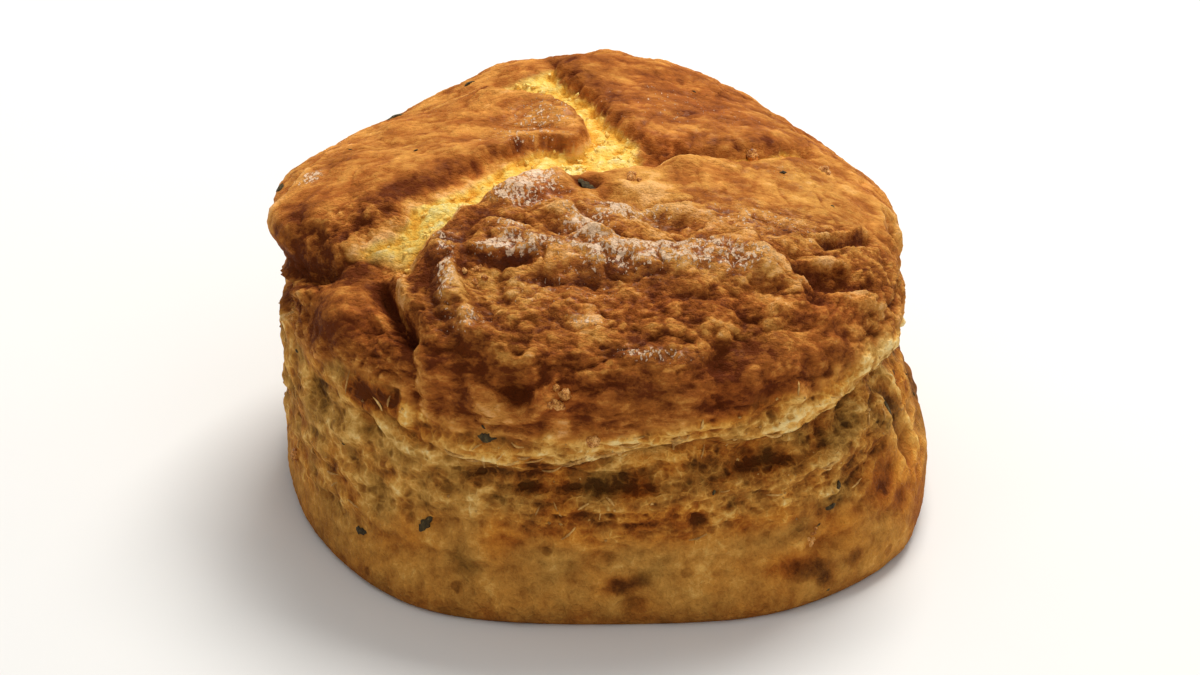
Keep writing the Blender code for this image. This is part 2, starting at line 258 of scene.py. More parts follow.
PLATES = (
    Plate(
        edge=LEFT_EDGE,
        rise=((-0.4, 0.0), (0.4, 0.7), (2.0, 1.5), (3.4, 2.5), (4.6, 3.0), (8.0, 2.9), (14.0, 2.2),
              (24.0, 1.3)),
        scorch=((-0.4, -0.5), (0.6, -0.35), (1.6, -0.05), (2.6, 0.38), (4.0, 0.40), (5.4, 0.14), (7.4, 0.0)),
        slopes=((0.0, 1.0), (0.42, 1.0), (0.54, 0.3), (1.0, 0.4)),
        tapers=(0.1, 6.0),
        ragged=0.8,
    ),
    Plate(
        edge=REAR_EDGE,
        rise=((-0.3, 0.0), (0.5, 1.2), (1.3, 2.1), (3.0, 2.6), (8.0, 2.4), (16.0, 1.8), (26.0, 1.3)),
        scorch=((-0.3, -0.3), (0.3, 0.1), (1.0, 0.42), (2.0, 0.34), (3.4, 0.08), (6.0, 0.0)),
        slopes=((0.0, 1.0), (1.0, 1.0)),
        tapers=(6.0, 14.0),
        ragged=1.1,
    ),
    Plate(
        edge=FRONT_EDGE,
        rise=((-0.5, 0.0), (0.1, 0.9), (0.8, 1.6), (2.4, 2.1), (5.0, 1.8), (9.0, 1.4), (14.0, 1.3)),
        scorch=((-0.5, -0.6), (0.2, -0.4), (0.7, 0.05), (1.4, 0.2), (3.0, 0.15), (6.0, 0.08), (9.0, 0.0)),
        slopes=((0.0, 1.0), (1.0, 1.0)),
        tapers=(12.0, 4.0),
        ragged=0.7,
    ),
)
PLATE_LEVEL = 1.3

SEAMS = (
    # The block low on the left, and the creases that part it from the crust round it
    Seam("top", ((-25.6, -18.6), (-24.6, -22.0), (-23.0, -25.4), (-21.4, -28.2), (-20.3, -31.0)),
         ((-1.8, 0.3), (-1.0, -0.6), (-0.3, -2.3), (0.4, -2.3), (1.1, -0.4), (2.2, 0.4)), 2.5),
    Seam("wall", ((-148, 34.6), (-156, 33.2), (-165, 31.4), (-175, 29.6), (176, 28.6), (164, 28.8)),
         ((-2.6, 0.3), (-1.5, -0.6), (-0.6, -2.2), (0.5, -2.4), (1.5, -0.9), (3.0, 0.5)), 7.0),
    # The folds of the front crust
    Seam("top", ((-13.5, -10.8), (-10.5, -8.2), (-6.6, -5.2), (-3.2, -3.2)),
         ((-3.0, 0.0), (-1.0, 1.2), (0.6, 1.3), (2.6, 0.0)), 2.0),
    Seam("top", ((-15.5, -15.6), (-11.0, -17.6), (-6.6, -19.0), (-2.0, -20.2), (3.0, -20.8), (9.0, -21.6),
                 (15.0, -19.6), (20.0, -17.6)),
         ((-5.4, -0.4), (-2.4, 1.1), (0.0, 1.8), (2.2, 1.3), (4.0, -0.5)), 3.0),
    Seam("top", ((-7.0, -9.6), (-4.0, -13.0), (-1.1, -16.3), (2.0, -19.6)),
         ((-2.6, -0.3), (-0.8, 1.0), (0.8, 1.1), (2.2, -0.4)), 2.0),
    Seam("top", ((-0.5, -5.0), (3.5, -8.6), (7.5, -12.0), (12.5, -13.2)),
         ((-2.4, 0.0), (-0.6, -1.1), (0.6, -1.1), (2.0, 0.0)), 2.0),
    # The torn blister: its crevice and the ridge round its left and front
    Seam("top", ((-15.8, -19.2), (-13.5, -20.8), (-11.0, -21.3), (-8.4, -21.2), (-5.8, -21.0)),
         ((-1.2, 0.0), (-0.4, -0.9), (0.4, -1.0), (1.0, 0.2)), 2.0),
    Seam("top", ((-17.2, -17.0), (-16.8, -22.0), (-15.8, -26.6), (-14.0, -29.7), (-11.4, -32.0),
                 (-8.0, -33.2)),
         ((-2.4, 0.0), (-0.8, 1.2), (0.5, 1.3), (1.6, 0.0)), 2.5),
    # The creases at the right of the front crust
    Seam("top", ((24.2, -14.2), (26.6, -12.4), (28.9, -9.9), (30.2, -8.0), (32.0, -5.6)),
         ((-1.6, 0.3), (-0.5, -1.2), (0.4, -1.4), (1.3, 0.5), (2.6, 0.3)), 2.0),
    Seam("top", ((20.2, -20.4), (22.4, -19.9), (24.4, -19.0), (26.8, -17.8), (29.0, -17.4)),
         ((-1.8, 0.0), (-0.6, -1.6), (0.5, -1.6), (1.6, 0.4), (3.0, 0.0)), 2.0),
    Seam("wall", ((-47, 33.6), (-40, 34.2), (-34, 33.0), (-28, 31.6)),
         ((-2.4, 0.8), (-1.2, 0.4), (-0.3, -1.5), (0.7, -1.2), (2.0, 0.3)), 3.0),
    Seam("wall", ((-57, 35.0), (-61, 33.4), (-66, 32.2), (-72, 31.4)),
         ((-2.4, 0.0), (-0.8, -1.3), (0.8, -1.3), (2.4, 0.0)), 2.5),
    # The lip at the foot of the crust, the torn hollow under it and the ragged layer below that
    Seam("wall", ((-122, 20.6), (-108, 21.4), (-97, 21.6), (-88, 22.8), (-78, 24.0), (-71, 24.2),
                  (-65, 23.5), (-58, 23.3), (-50, 24.2), (-44, 25.2), (-36, 26.4), (-28, 26.4),
                  (-20, 25.6), (-8, 25.0)),
         ((-7.0, 0.0), (-4.6, -1.3), (-2.4, -1.7), (-0.9, -0.6), (0.0, 0.8), (1.5, 1.1), (3.0, 0.7),
          (4.8, 0.2)), 7.0),
    Seam("wall", ((-108, 16.2), (-97, 15.9), (-85, 16.0), (-73, 16.7), (-62, 17.0), (-50, 17.6)),
         ((-2.4, 0.0), (-0.7, 0.5), (0.3, 0.4), (1.0, -0.7), (2.4, -0.8), (3.8, 0.0)), 4.0),
    # The valley between the front wall and the foot that bulges behind it on the right
    Seam("wall", ((-23, 8.0), (-24, 12.2), (-26, 18.1), (-29, 24.2)),
         ((-3.0, 0.3), (-1.0, -0.9), (0.4, -1.2), (3.0, 0.0)), 4.0),
    # Loose strands standing up the left of the front wall
    Seam("wall", ((-124, 28.6), (-124, 25.0), (-125, 21.6)),
         ((-1.4, -0.3), (-0.4, 0.4), (0.4, 0.4), (1.4, -0.3)), 1.5),
    Seam("wall", ((-134, 24.8), (-126, 20.6), (-116, 19.4)),
         ((-1.4, -0.2), (-0.3, 0.5), (0.5, 0.5), (1.4, -0.4)), 2.0),
)

POCKS = (
    Pock("top", (-11.8, -25.8), 3.6, 3.6, -0.9),
    Pock("top", (-1.3, -4.4), 1.3, 1.3, -1.4),
    Pock("top", (8.2, 3.4), 1.8, 1.5, -1.2),
    Pock("top", (2.2, -5.6), 1.5, 1.5, 0.7),
    Pock("top", (5.6, -5.8), 1.6, 1.4, 0.7),
    Pock("top", (4.5, -11.0), 2.2, 1.8, -0.6),
    Pock("top", (19.6, -21.0), 3.2, 2.6, 1.0),
    Pock("top", (-29.6, -21.4), 3.6, 3.2, 1.2),
    Pock("top", (9.6, 1.0), 2.4, 2.0, 0.8),
    Pock("top", (14.6, 1.6), 2.2, 1.4, 0.6),
    Pock("top", (3.6, -10.2), 3.4, 2.2, 0.6),
    Pock("top", (24.4, -23.4), 1.8, 1.5, -0.8),
    Pock("top", (-1.6, -30.6), 2.0, 1.2, 0.5),
    Pock("top", (5.0, -31.8), 3.4, 1.2, -0.6),
    Pock("wall", (-113, 31.6), 2.2, 2.4, -0.8),
    Pock("wall", (-101, 28.4), 1.6, 1.4, 0.6),
    Pock("wall", (-90, 20.4), 2.0, 1.2, -0.7),
    Pock("wall", (-81, 20.9), 3.0, 1.8, -1.0),
    Pock("wall", (-72, 21.4), 2.2, 1.6, -0.8),
    Pock("wall", (-61, 19.9), 2.8, 1.6, -0.9),
    Pock("wall", (-49, 20.6), 2.6, 2.0, -0.8),
    Pock("wall", (-40, 22.0), 2.2, 3.0, -0.8),
    Pock("wall", (-20, 25.6), 1.4, 1.2, 1.3),
    Pock("wall", (-86, 18.4), 3.2, 1.2, -0.5),
    Pock("wall", (-73, 13.2), 1.2, 1.0, -0.7),
    Pock("wall", (-84, 3.2), 1.6, 1.2, -0.6),
    Pock("wall", (-50, 7.4), 2.6, 1.2, -0.5),
    Pock("wall", (-146, 22.0), 2.2, 2.0, -0.8),
    Pock("wall", (-133, 21.4), 2.0, 1.6, -0.9),
    Pock("wall", (-160, 17.0), 1.8, 2.2, -0.6),
)

# Where the crust ends on the wall, and the smooth foot below the torn layers: azimuth, height
CRUST_EDGE = (
    (-155, 25.6), (-140, 27.6), (-130, 28.2), (-119, 24.9), (-108, 23.8), (-97, 24.8), (-90, 25.4),
    (-84, 25.9), (-78, 26.5), (-68, 27.0), (-63, 28.1), (-58, 27.8), (-53, 27.4), (-46, 28.3),
    (-39, 29.4), (-32, 29.2), (-22, 28.4), (-10, 27.5), (40, 27.0), (90, 26.0), (140, 26.5), (180, 26.0),
)
FOOT_EDGE = (
    (-170, 5.0), (-140, 6.0), (-118, 11.8), (-104, 12.2), (-90, 10.8), (-73, 10.2), (-55, 11.0),
    (-42, 10.6), (-30, 14.0), (0, 12.0), (45, 9.0), (90, 10.0), (140, 7.0), (180, 6.0),
)
# The azimuths over which the torn layers of the front begin and end
LAYERS_START = (-122, -108)
LAYERS_END = (-18, -34)

WRINKLED = (0.75, 1, 1.7)
LAYERED = (1, 1, 2.6)
FLATTENED = (1, 1, 1.5)
FINE_RELIEF = (
    Relief("rough_crust", "grain", 3.2, 11, 0.46, WRINKLED, (5, 0.6)),
    Relief("rough_crust", "grain", 1.2, 13, 0.22, WRINKLED, (3, 0.7)),
    Relief("rough_crust", "blisters", 4.4, 2, 0.16, WRINKLED),
    Relief("rough_crust", "creases", 5.2, 12, -0.42, WRINKLED),
    Relief("rough_crust", "creases", 2.6, 22, -0.16, WRINKLED),
    Relief("even_crust", "grain", 4.6, 18, 0.24, detail=(5, 0.6)),
    Relief("even_crust", "grain", 1.1, 20, 0.05, detail=(3, 0.8)),
    Relief("even_crust", "creases", 6.0, 14, -0.20),
    Relief("even_crust", "creases", 2.6, 23, -0.08),
    Relief("layers", "grain", 5.0, 15, 0.48, LAYERED, (5, 0.6)),
    Relief("layers", "pores", 2.9, 4, -0.30, FLATTENED),
    Relief("layers", "pores", 1.4, 5, -0.12),
    Relief("mottled", "grain", 3.4, 19, 0.20, detail=(5, 0.7)),
    Relief("mottled", "pores", 2.5, 8, -0.12),
    Relief("mottled", "pores", 1.2, 3, -0.13),
    Relief("foot", "grain", 3.0, 16, 0.14, detail=(4, 0.6)),
    Relief("foot", "pores", 2.0, 6, -0.08),
    Relief("bubbles", "pores", 2.0, 9, -0.50),
    Relief("crumb", "pebbles", 1.6, 7, 0.10),
    Relief("crumb", "grain", 2.4, 17, 0.60, detail=(4, 0.7)),
)

# What is added to each mask, from place to place. The bake mask holds real browning, and painted shade and
# painted highlight where so noted
STAINS = {
    "crumb": (
        # No crumb on the block low on the left, in the dark pocket behind it, at the crack's far end, and in
        # the hollow under the rear plate's rim, where crust with painted shade lies instead
        Stain("top", (-30.5, -21.5), 9.0, 6.0, -2.0),
        Stain("top", (-34.0, -12.0), 5.5, 5.0, -2.0),
        Stain("top", (-13.0, 34.5), 8.0, 4.5, -1.5),
        Stain("top", (8.4, 4.6), 3.6, 1.8, -2.0),
        Stain("wall", (-137, 30.0), 9.0, 5.0, -3.0),
    ),
    "smooth": (
        Stain("wall", (-90, 20.6), 2.2, 1.1, 0.90),
        Stain("wall", (-81, 21.0), 3.2, 1.7, 0.95),
        Stain("wall", (-72, 21.6), 2.0, 1.4, 0.70),
        Stain("wall", (-61, 20.0), 2.6, 1.4, 0.80),
        Stain("wall", (10, 10), 16.0, 9.0, 0.40),
        Stain("top", (-29, -21.5), 6.0, 6.0, 0.75),
    ),
    "bubbles": (
        Stain("wall", (-60, 25.8), 5.0, 2.2, 1.0),
    ),
    "bake": (
        # The left part of the crust, with its darker rim
        Stain("top", (-8, 4.5), 5.0, 3.6, 0.10),
        Stain("top", (-22, 6), 11.0, 9.0, 0.02),
        Stain("top", (-31, -2), 5.0, 7.0, 0.14),
        Stain("top", (-29.4, -8.4), 1.6, 2.4, -0.30),
        Stain("top", (-33.8, -6.6), 2.8, 3.6, 0.26),
        # Painted highlight: the tip of the left plate is drawn paler where it catches the light
        Stain("top", (-7.5, 12.5), 5.0, 4.0, -0.08),
        # Painted shade in the dark pocket behind the block and under the overhang at the left end of the rim
        Stain("top", (-32.6, -12.4), 4.4, 3.2, 0.50),
        Stain("wall", (-150, 34.4), 4.5, 1.8, 0.45),
        Stain("wall", (-163, 32), 6.0, 2.4, 0.50),
        Stain("wall", (-167, 26), 3.0, 2.4, 0.35),
        Stain("wall", (-148, 30), 8.0, 3.0, 0.16),
        Stain("wall", (-146, 30), 5.0, 2.6, 0.16),
        # The block low on the left, with painted shade in the creases round it
        Stain("top", (-24.0, -27.5), 3.2, 4.0, 0.18),
        Stain("top", (-24.4, -22.0), 1.6, 3.2, 0.45),
        Stain("top", (-21.8, -29.0), 1.6, 3.4, 0.45),
        Stain("wall", (-131, 25.4), 3.4, 1.8, 0.35),
        Stain("top", (-29.0, -21.5), 5.0, 5.0, 0.26),
        Stain("wall", (-132, 25.6), 3.4, 1.8, 0.12),
        Stain("wall", (-131, 25.1), 2.6, 1.3, 0.24),
        # The rear and the right, from brown to gold
        Stain("top", (12, 20), 14.0, 10.0, 0.19),
        Stain("top", (0, 28), 7.0, 5.0, 0.06),
        Stain("top", (24, 0), 12.0, 6.0, -0.10),
        Stain("top", (31, -4), 7.0, 7.0, 0.08),
        Stain("top", (9, 0.6), 3.4, 2.2, -0.10),
        # Painted shade in the hollow under the rim of the rear plate
        Stain("top", (12.5, 3.8), 3.0, 1.6, 0.25),
        Stain("top", (8.0, 5.0), 3.4, 1.7, 0.34),
        # Painted shade in the creases at the right of the front crust
        Stain("top", (30.0, -8.0), 2.2, 1.4, 0.36),
        Stain("top", (26.4, -13.2), 2.4, 0.9, 0.30),
        Stain("top", (24.0, -19.2), 3.6, 1.3, 0.42),
        Stain("top", (24.4, -23.6), 1.6, 1.4, 0.40),
        Stain("top", (16.0, 1.4), 7.0, 1.6, -0.06),
        Stain("top", (30.0, -16.0), 7.0, 9.0, 0.10),
        # The front, from its folds down to the lip
        Stain("top", (18.2, -29.6), 3.6, 2.2, -0.26),
        Stain("top", (-8.4, -7.8), 4.0, 2.8, -0.08),
        Stain("top", (-1.3, -4.4), 1.8, 1.5, 0.50),
        Stain("top", (3.8, -10.2), 3.6, 2.4, -0.20),
        # Painted highlight: paler along the broad ridge of the front
        Stain("top", (7.0, -21.0), 10.0, 2.4, -0.10),
        Stain("top", (4.6, -4.6), 3.4, 5.0, -0.30),
        Stain("top", (18.8, -25.2), 3.2, 2.6, -0.20),
        Stain("top", (-12.4, -25.2), 3.2, 3.0, -0.36),
        Stain("top", (-6.6, -27.4), 4.6, 2.2, -0.06),
        Stain("top", (-11.2, -21.2), 4.6, 0.6, 0.50),
        Stain("top", (-18.5, -13), 3.6, 6.0, 0.20),
        Stain("top", (-18.8, -24.5), 2.6, 5.5, 0.22),
        Stain("top", (9.0, -27.6), 10.0, 2.2, 0.16),
        Stain("wall", (-68, 31.6), 4.0, 1.0, 0.36),
        Stain("wall", (-106, 32.2), 1.7, 1.9, 0.16),
        Stain("top", (4.0, -32.4), 2.8, 0.9, 0.30),
        Stain("top", (-1.7, -30.6), 2.0, 0.8, -0.30),
        Stain("top", (-4.4, -37.4), 1.8, 1.2, -0.34),
        Stain("top", (0.0, -27.0), 22.0, 9.0, 0.14),
        Stain("top", (2.4, -29.8), 7.0, 3.2, -0.14),
        Stain("top", (0.0, -36.6), 9.0, 2.6, 0.14),
        Stain("wall", (-60, 32.6), 4.0, 2.6, 0.32),
        Stain("wall", (-66, 28), 4.0, 1.8, 0.24),
        Stain("wall", (-113, 31), 3.0, 3.0, 0.06),
        # The hollow under the lip: painted light lifts its windows where shade falls in them, and darker
        # patches lie round them
        Stain("wall", (-89, 18.4), 3.6, 0.9, -0.04),
        Stain("wall", (-80, 18.6), 3.6, 0.9, -0.06),
        Stain("wall", (-81, 20.8), 3.4, 1.5, -0.40),
        Stain("wall", (-72, 21.2), 2.2, 1.3, -0.30),
        Stain("wall", (-90, 20.2), 2.2, 1.2, -0.22),
        Stain("wall", (-61, 20.2), 2.4, 1.3, -0.14),
        Stain("wall", (-61, 18.6), 3.4, 1.2, 0.20),
        Stain("wall", (-45, 21.5), 5.0, 2.6, 0.22),
        Stain("wall", (-86, 16.6), 3.4, 0.8, 0.16),
        Stain("wall", (-146, 22), 3.0, 3.0, 0.16),
        Stain("wall", (-100, 21.0), 3.0, 1.4, 0.14),
        Stain("wall", (-114, 17.8), 3.6, 0.9, 0.18),
        Stain("wall", (-104, 18.8), 3.0, 0.9, 0.20),
        Stain("wall", (-72, 19.8), 2.4, 1.1, 0.16),
        Stain("wall", (-46, 18.0), 2.4, 2.4, 0.16),
        Stain("wall", (-99, 24.0), 4.0, 1.0, 0.14),
        # The ragged layers and the foot
        Stain("wall", (-40, 12), 4.5, 4.0, 0.20),
        Stain("wall", (-38, 3), 5.0, 2.0, -0.12),
        Stain("wall", (-70, 8), 9.0, 4.0, -0.06),
        Stain("wall", (-73, 13.2), 1.3, 1.1, 0.46),
        Stain("wall", (-87, 5.6), 1.5, 1.1, 0.60),
        Stain("wall", (-83, 6.2), 1.2, 0.9, 0.35),
        Stain("wall", (-54, 5.0), 3.0, 1.3, 0.42),
        Stain("wall", (-46, 4.6), 1.4, 1.1, 0.35),
        Stain("wall", (-113, 7.4), 2.2, 1.6, 0.22),
        Stain("wall", (-58, 6.1), 2.6, 1.2, 0.20),
        Stain("wall", (-52, 3.5), 1.1, 0.9, 0.45),
        Stain("wall", (-36, 11.1), 2.2, 1.4, 0.28),
        Stain("wall", (-48, 12.1), 1.7, 1.0, 0.24),
        Stain("wall", (-55, 10.1), 1.9, 1.2, 0.20),
        Stain("wall", (-120, 13.6), 2.2, 1.2, 0.12),
        Stain("wall", (-94, 14.6), 2.6, 0.8, 0.24),
        # The valley and the foot at the right, with painted shade in the valley and beside it
        Stain("wall", (-34, 18), 3.0, 5.0, 0.14),
        Stain("wall", (6, 13), 9.0, 9.0, 0.34),
        Stain("wall", (-6, 21), 5.0, 4.0, 0.22),
        Stain("wall", (-17, 14.5), 4.0, 5.0, -0.05),
        Stain("wall", (-24, 9.5), 4.6, 6.0, -0.08),
        Stain("wall", (-25, 15.0), 2.0, 5.0, 0.24),
        Stain("wall", (-24, 5.0), 4.0, 3.0, 0.20),
        Stain("wall", (-32, 8.0), 2.4, 1.6, 0.22),
    ),
    "warm": (
        # The left part of the crust
        Stain("top", (-22, 6), 9.0, 8.0, -0.15),
        Stain("top", (-4, 6), 6.0, 3.0, 0.25),
        # The block low on the left
        Stain("wall", (-131, 25.1), 3.0, 1.6, 0.50),
        Stain("wall", (-131, 25.4), 3.6, 2.0, 0.45),
        Stain("top", (-24, -27), 3.6, 4.6, 0.45),
        # The rear and the right
        Stain("top", (24, 0), 12.0, 8.0, -0.35),
        Stain("top", (10, 18), 9.0, 7.0, 0.20),
        # The front, from its folds down to the lip
        Stain("top", (8.0, -27.8), 12.0, 2.6, 0.40),
        Stain("wall", (-106, 32.2), 2.2, 2.2, -0.50),
        Stain("top", (-12.4, -25.2), 4.0, 3.4, -0.50),
        Stain("top", (18.2, -29.6), 4.0, 2.6, -0.40),
        Stain("wall", (-66, 28), 5.0, 2.0, 0.50),
        Stain("wall", (-97, 29.5), 3.0, 2.6, 0.40),
        Stain("top", (-8.4, -7.8), 4.2, 3.0, 0.40),
        Stain("top", (-12, -21), 9.0, 2.0, 0.20),
        Stain("top", (24.5, -23), 4.0, 4.0, 0.30),
        Stain("top", (4.2, -7.0), 4.0, 6.0, -0.50),
        # The hollow under the lip
        Stain("wall", (-68, 21.0), 2.6, 1.6, 0.45),
        Stain("wall", (-140, 19), 7.0, 4.0, -0.30),
        Stain("wall", (-115, 17), 7.0, 4.0, -0.15),
        Stain("wall", (-90, 20.8), 2.6, 0.9, -0.40),
        Stain("wall", (-81, 21.8), 3.2, 0.9, -0.45),
        Stain("wall", (-44, 20), 3.0, 2.6, -0.40),
        # The ragged layers and the foot
        Stain("wall", (-58, 6.1), 3.0, 1.6, 0.55),
        Stain("wall", (-36, 11.1), 4.0, 3.0, 0.45),
        Stain("wall", (-48, 12.1), 2.2, 1.4, -0.55),
        Stain("wall", (-55, 10.1), 2.4, 1.6, -0.45),
        Stain("wall", (-113, 7.8), 2.4, 2.6, -0.45),
        Stain("wall", (-120, 13.6), 2.4, 1.4, -0.40),
        Stain("wall", (-104, 14.6), 4.0, 1.6, 0.35),
        Stain("wall", (-74, 12.8), 2.0, 1.6, 0.60),
        Stain("wall", (-88, 5.8), 2.6, 1.6, 0.50),
        Stain("wall", (-90, 14.4), 6.0, 1.4, 0.55),
        Stain("wall", (-78, 14.0), 5.0, 1.4, 0.55),
        Stain("wall", (-50, 9), 5.0, 4.0, 0.45),
        Stain("wall", (-118, 9), 7.0, 2.0, 0.25),
        Stain("wall", (-90, 6.0), 9.0, 4.0, -0.20),
        # The valley and the foot at the right
        Stain("wall", (-24, 6.0), 5.0, 5.0, 0.55),
        Stain("wall", (-32, 10), 4.0, 5.0, 0.40),
        Stain("wall", (-16, 14), 4.0, 6.0, 0.25),
    ),
    "pale": (
        Stain("wall", (-118, 20), 6.0, 1.6, 0.25),
        Stain("wall", (-20, 25.6), 2.0, 1.6, 0.90),
        Stain("wall", (-59, 25.6), 4.2, 2.0, 0.30),
        Stain("wall", (-38, 27.6), 5.0, 1.4, 0.30),
        Stain("wall", (-40, 28.8), 4.0, 1.2, 0.35),
    ),
    # Where the crust is glazed, which gives it a coat of gloss and gathers painted glint flecks where
    # highlights fall
    "glaze": (
        Stain("top", (-9, 6.5), 6.0, 3.4, 0.45),
        Stain("top", (-8.6, -7.6), 4.4, 3.6, 1.2),
        Stain("top", (8.0, -20.8), 11.0, 2.8, 0.95),
        Stain("top", (-18.0, -16), 2.4, 4.0, 0.50),
        Stain("top", (-1.6, -15.6), 3.2, 5.0, 0.85),
        Stain("top", (3.8, -10.4), 4.0, 2.6, 0.75),
        Stain("top", (-10.2, -16.0), 2.4, 2.0, 0.70),
        Stain("top", (-9.6, -19.4), 5.0, 1.4, 0.90),
        Stain("top", (-17.0, -24.0), 1.4, 5.0, 0.60),
        Stain("top", (-14.0, -29.8), 3.0, 1.6, 0.50),
        Stain("top", (5.5, -34.0), 5.0, 0.9, 0.60),
        Stain("top", (-1.7, -30.6), 2.4, 1.0, 0.60),
        Stain("top", (17, -11), 9.0, 5.0, 0.40),
        Stain("top", (-3, -26), 9.0, 4.0, 0.32),
        Stain("top", (-33.2, 1.9), 1.6, 2.0, 0.70),
        Stain("top", (-7.5, 12.5), 5.0, 4.0, 0.50),
        Stain("top", (10, 16), 12.0, 7.0, 0.25),
        Stain("top", (24, 2), 9.0, 5.0, 0.15),
    ),
}
# The same along lines
BANDS = {
    "crumb": (
        Band("top", ((-27.5, -19.0), (-24.5, -24.0), (-21.5, -29.0), (-20.0, -32.5)), 3.0, -2.0),
    ),
    "smooth": (
        Band("wall", ((-122, 29), (-105, 28.6), (-85, 28.8), (-65, 30.2), (-46, 31)), 3.4, 0.60),
    ),
    "bake": (
        Band("wall", ((-122, 31), (-105, 30.4), (-85, 30.4), (-65, 31), (-46, 32)), 4.4, 0.20),
        Band("wall", ((-112, 18.8), (-97, 19.0), (-73, 20.0), (-56, 20.6), (-40, 22.4)), 1.6, 0.04),
        Band("wall", ((-98, 17.4), (-80, 17.8), (-64, 18.4)), 0.7, 0.10),
        # Painted shadow just under the lip
        Band("wall", ((-102, 20.2), (-92, 21.0), (-86, 21.9), (-79, 22.7), (-71, 23.0), (-65, 22.4),
                      (-58, 22.2), (-50, 23.0), (-42, 24.4)), 0.9, 0.24),
        Band("wall", ((-94, 14.0), (-88, 13.6), (-82, 13.4), (-76, 13.5)), 1.0, 0.32),
        # Painted shade in the orange-brown band under the ragged layer
        Band("wall", ((-104, 12.4), (-90, 12.0), (-73, 11.8), (-60, 12.4)), 0.8, 0.10),
        Band("wall", ((-150, 0.6), (-120, 0.6), (-90, 0.6), (-60, 0.6), (-30, 0.6), (0, 0.6)), 1.6, 0.16),
        Band("wall", ((0, 0.6), (45, 0.6), (90, 0.6), (135, 0.6), (180, 0.6), (210, 0.6)), 1.6, 0.16),
        Band("wall", ((-106, 16.0), (-85, 16.0), (-73, 16.7), (-52, 17.4)), 1.0, 0.29),
    ),
    "warm": (
        # Painted shade in the orange-brown band under the ragged layer
        Band("wall", ((-108, 11.4), (-90, 11.8), (-73, 11.4), (-58, 12.0)), 1.5, 0.45),
        Band("wall", ((-122, 30), (-105, 28.8), (-85, 28.8), (-65, 29.6), (-46, 31)), 3.2, 0.20),
        Band("wall", ((-112, 23.2), (-97, 23.6), (-84, 24.8), (-70, 25.6), (-52, 26.0),
                      (-38, 28.0)), 1.6, 0.22),
    ),
    "pale": (
        Band("wall", ((-100, 22.9), (-97, 23.1), (-90, 23.8), (-84, 24.5), (-78, 25.2), (-70, 25.3),
                      (-60, 25.3), (-52, 25.3), (-45, 26.5), (-38, 27.6), (-30, 27.4)), 1.6, 0.42),
        Band("top", ((-18.6, -11.4), (-15.4, -8.2), (-12.2, -4.4), (-9.8, -2.0), (-6.0, -0.9),
                     (-1.6, 1.0)), 0.8, 0.60),
    ),
}

# Colours in linear light, from the palest or least baked to the darkest
GOLD_CRUST = (
    (0.00, (1.00, 0.55, 0.190)),
    (0.28, (0.74, 0.350, 0.072)),
    (0.60, (0.44, 0.150, 0.024)),
    (1.00, (0.17, 0.038, 0.006)),
)
RUDDY_CRUST = (
    (0.00, (0.94, 0.46, 0.160)),
    (0.28, (0.78, 0.285, 0.052)),
    (0.60, (0.42, 0.108, 0.017)),
    (1.00, (0.13, 0.024, 0.004)),
)
TAN_WALL = (
    (0.00, (0.090, 0.036, 0.007)),
    (0.30, (0.30, 0.135, 0.024)),
    (0.58, (0.56, 0.285, 0.060)),
    (0.80, (0.82, 0.50, 0.150)),
    (1.00, (0.98, 0.74, 0.340)),
)
WARM_WALL = (
    (0.00, (0.100, 0.022, 0.003)),
    (0.30, (0.34, 0.092, 0.011)),
    (0.58, (0.62, 0.235, 0.030)),
    (0.80, (0.88, 0.46, 0.090)),
    (1.00, (1.00, 0.70, 0.260)),
)
CRUMB_TONES = (
    (0.00, (0.70, 0.26, 0.020)),
    (0.34, (0.95, 0.52, 0.070)),
    (0.66, (1.00, 0.72, 0.180)),
    (1.00, (1.00, 0.90, 0.460)),
)
HERB_TONES = (
    (0.00, (0.026, 0.018, 0.008)),
    (0.55, (0.060, 0.040, 0.014)),
    (1.00, (0.16, 0.110, 0.036)),
)

# The wall's usual distance from the middle, and the turn that a millimetre along it makes
WALL_RADIUS = 37.5
DEGREES_PER_MM = 180 / (math.pi * WALL_RADIUS)

WEBS = (
    Web((-96.6, 21.6), (-96.4, 19.2), 0.9, 0.20),
    Web((-92.5, 22.2), (-92.2, 20.4), 1.0, 0.20),
    Web((-86.5, 23.0), (-86.0, 20.6), 1.3, 0.40),
    Web((-86.0, 20.8), (-87.4, 19.2), 0.4, 0.15),
    Web((-86.0, 20.8), (-84.6, 19.4), 0.4, 0.15),
    Web((-77.2, 24.1), (-76.6, 21.2), 1.7, 0.20),
    Web((-67.0, 23.4), (-66.8, 20.6), 0.9, 0.25),
    Web((-58.0, 23.3), (-57.4, 20.8), 0.8, 0.20),
    Web((-110.0, 21.0), (-111.0, 18.4), 0.8, 0.20),
    Web((-123.6, 27.6), (-124.2, 23.4), 0.45, 0.35),
    Web((-131.0, 25.4), (-128.0, 21.8), 0.5, 0.20),
)
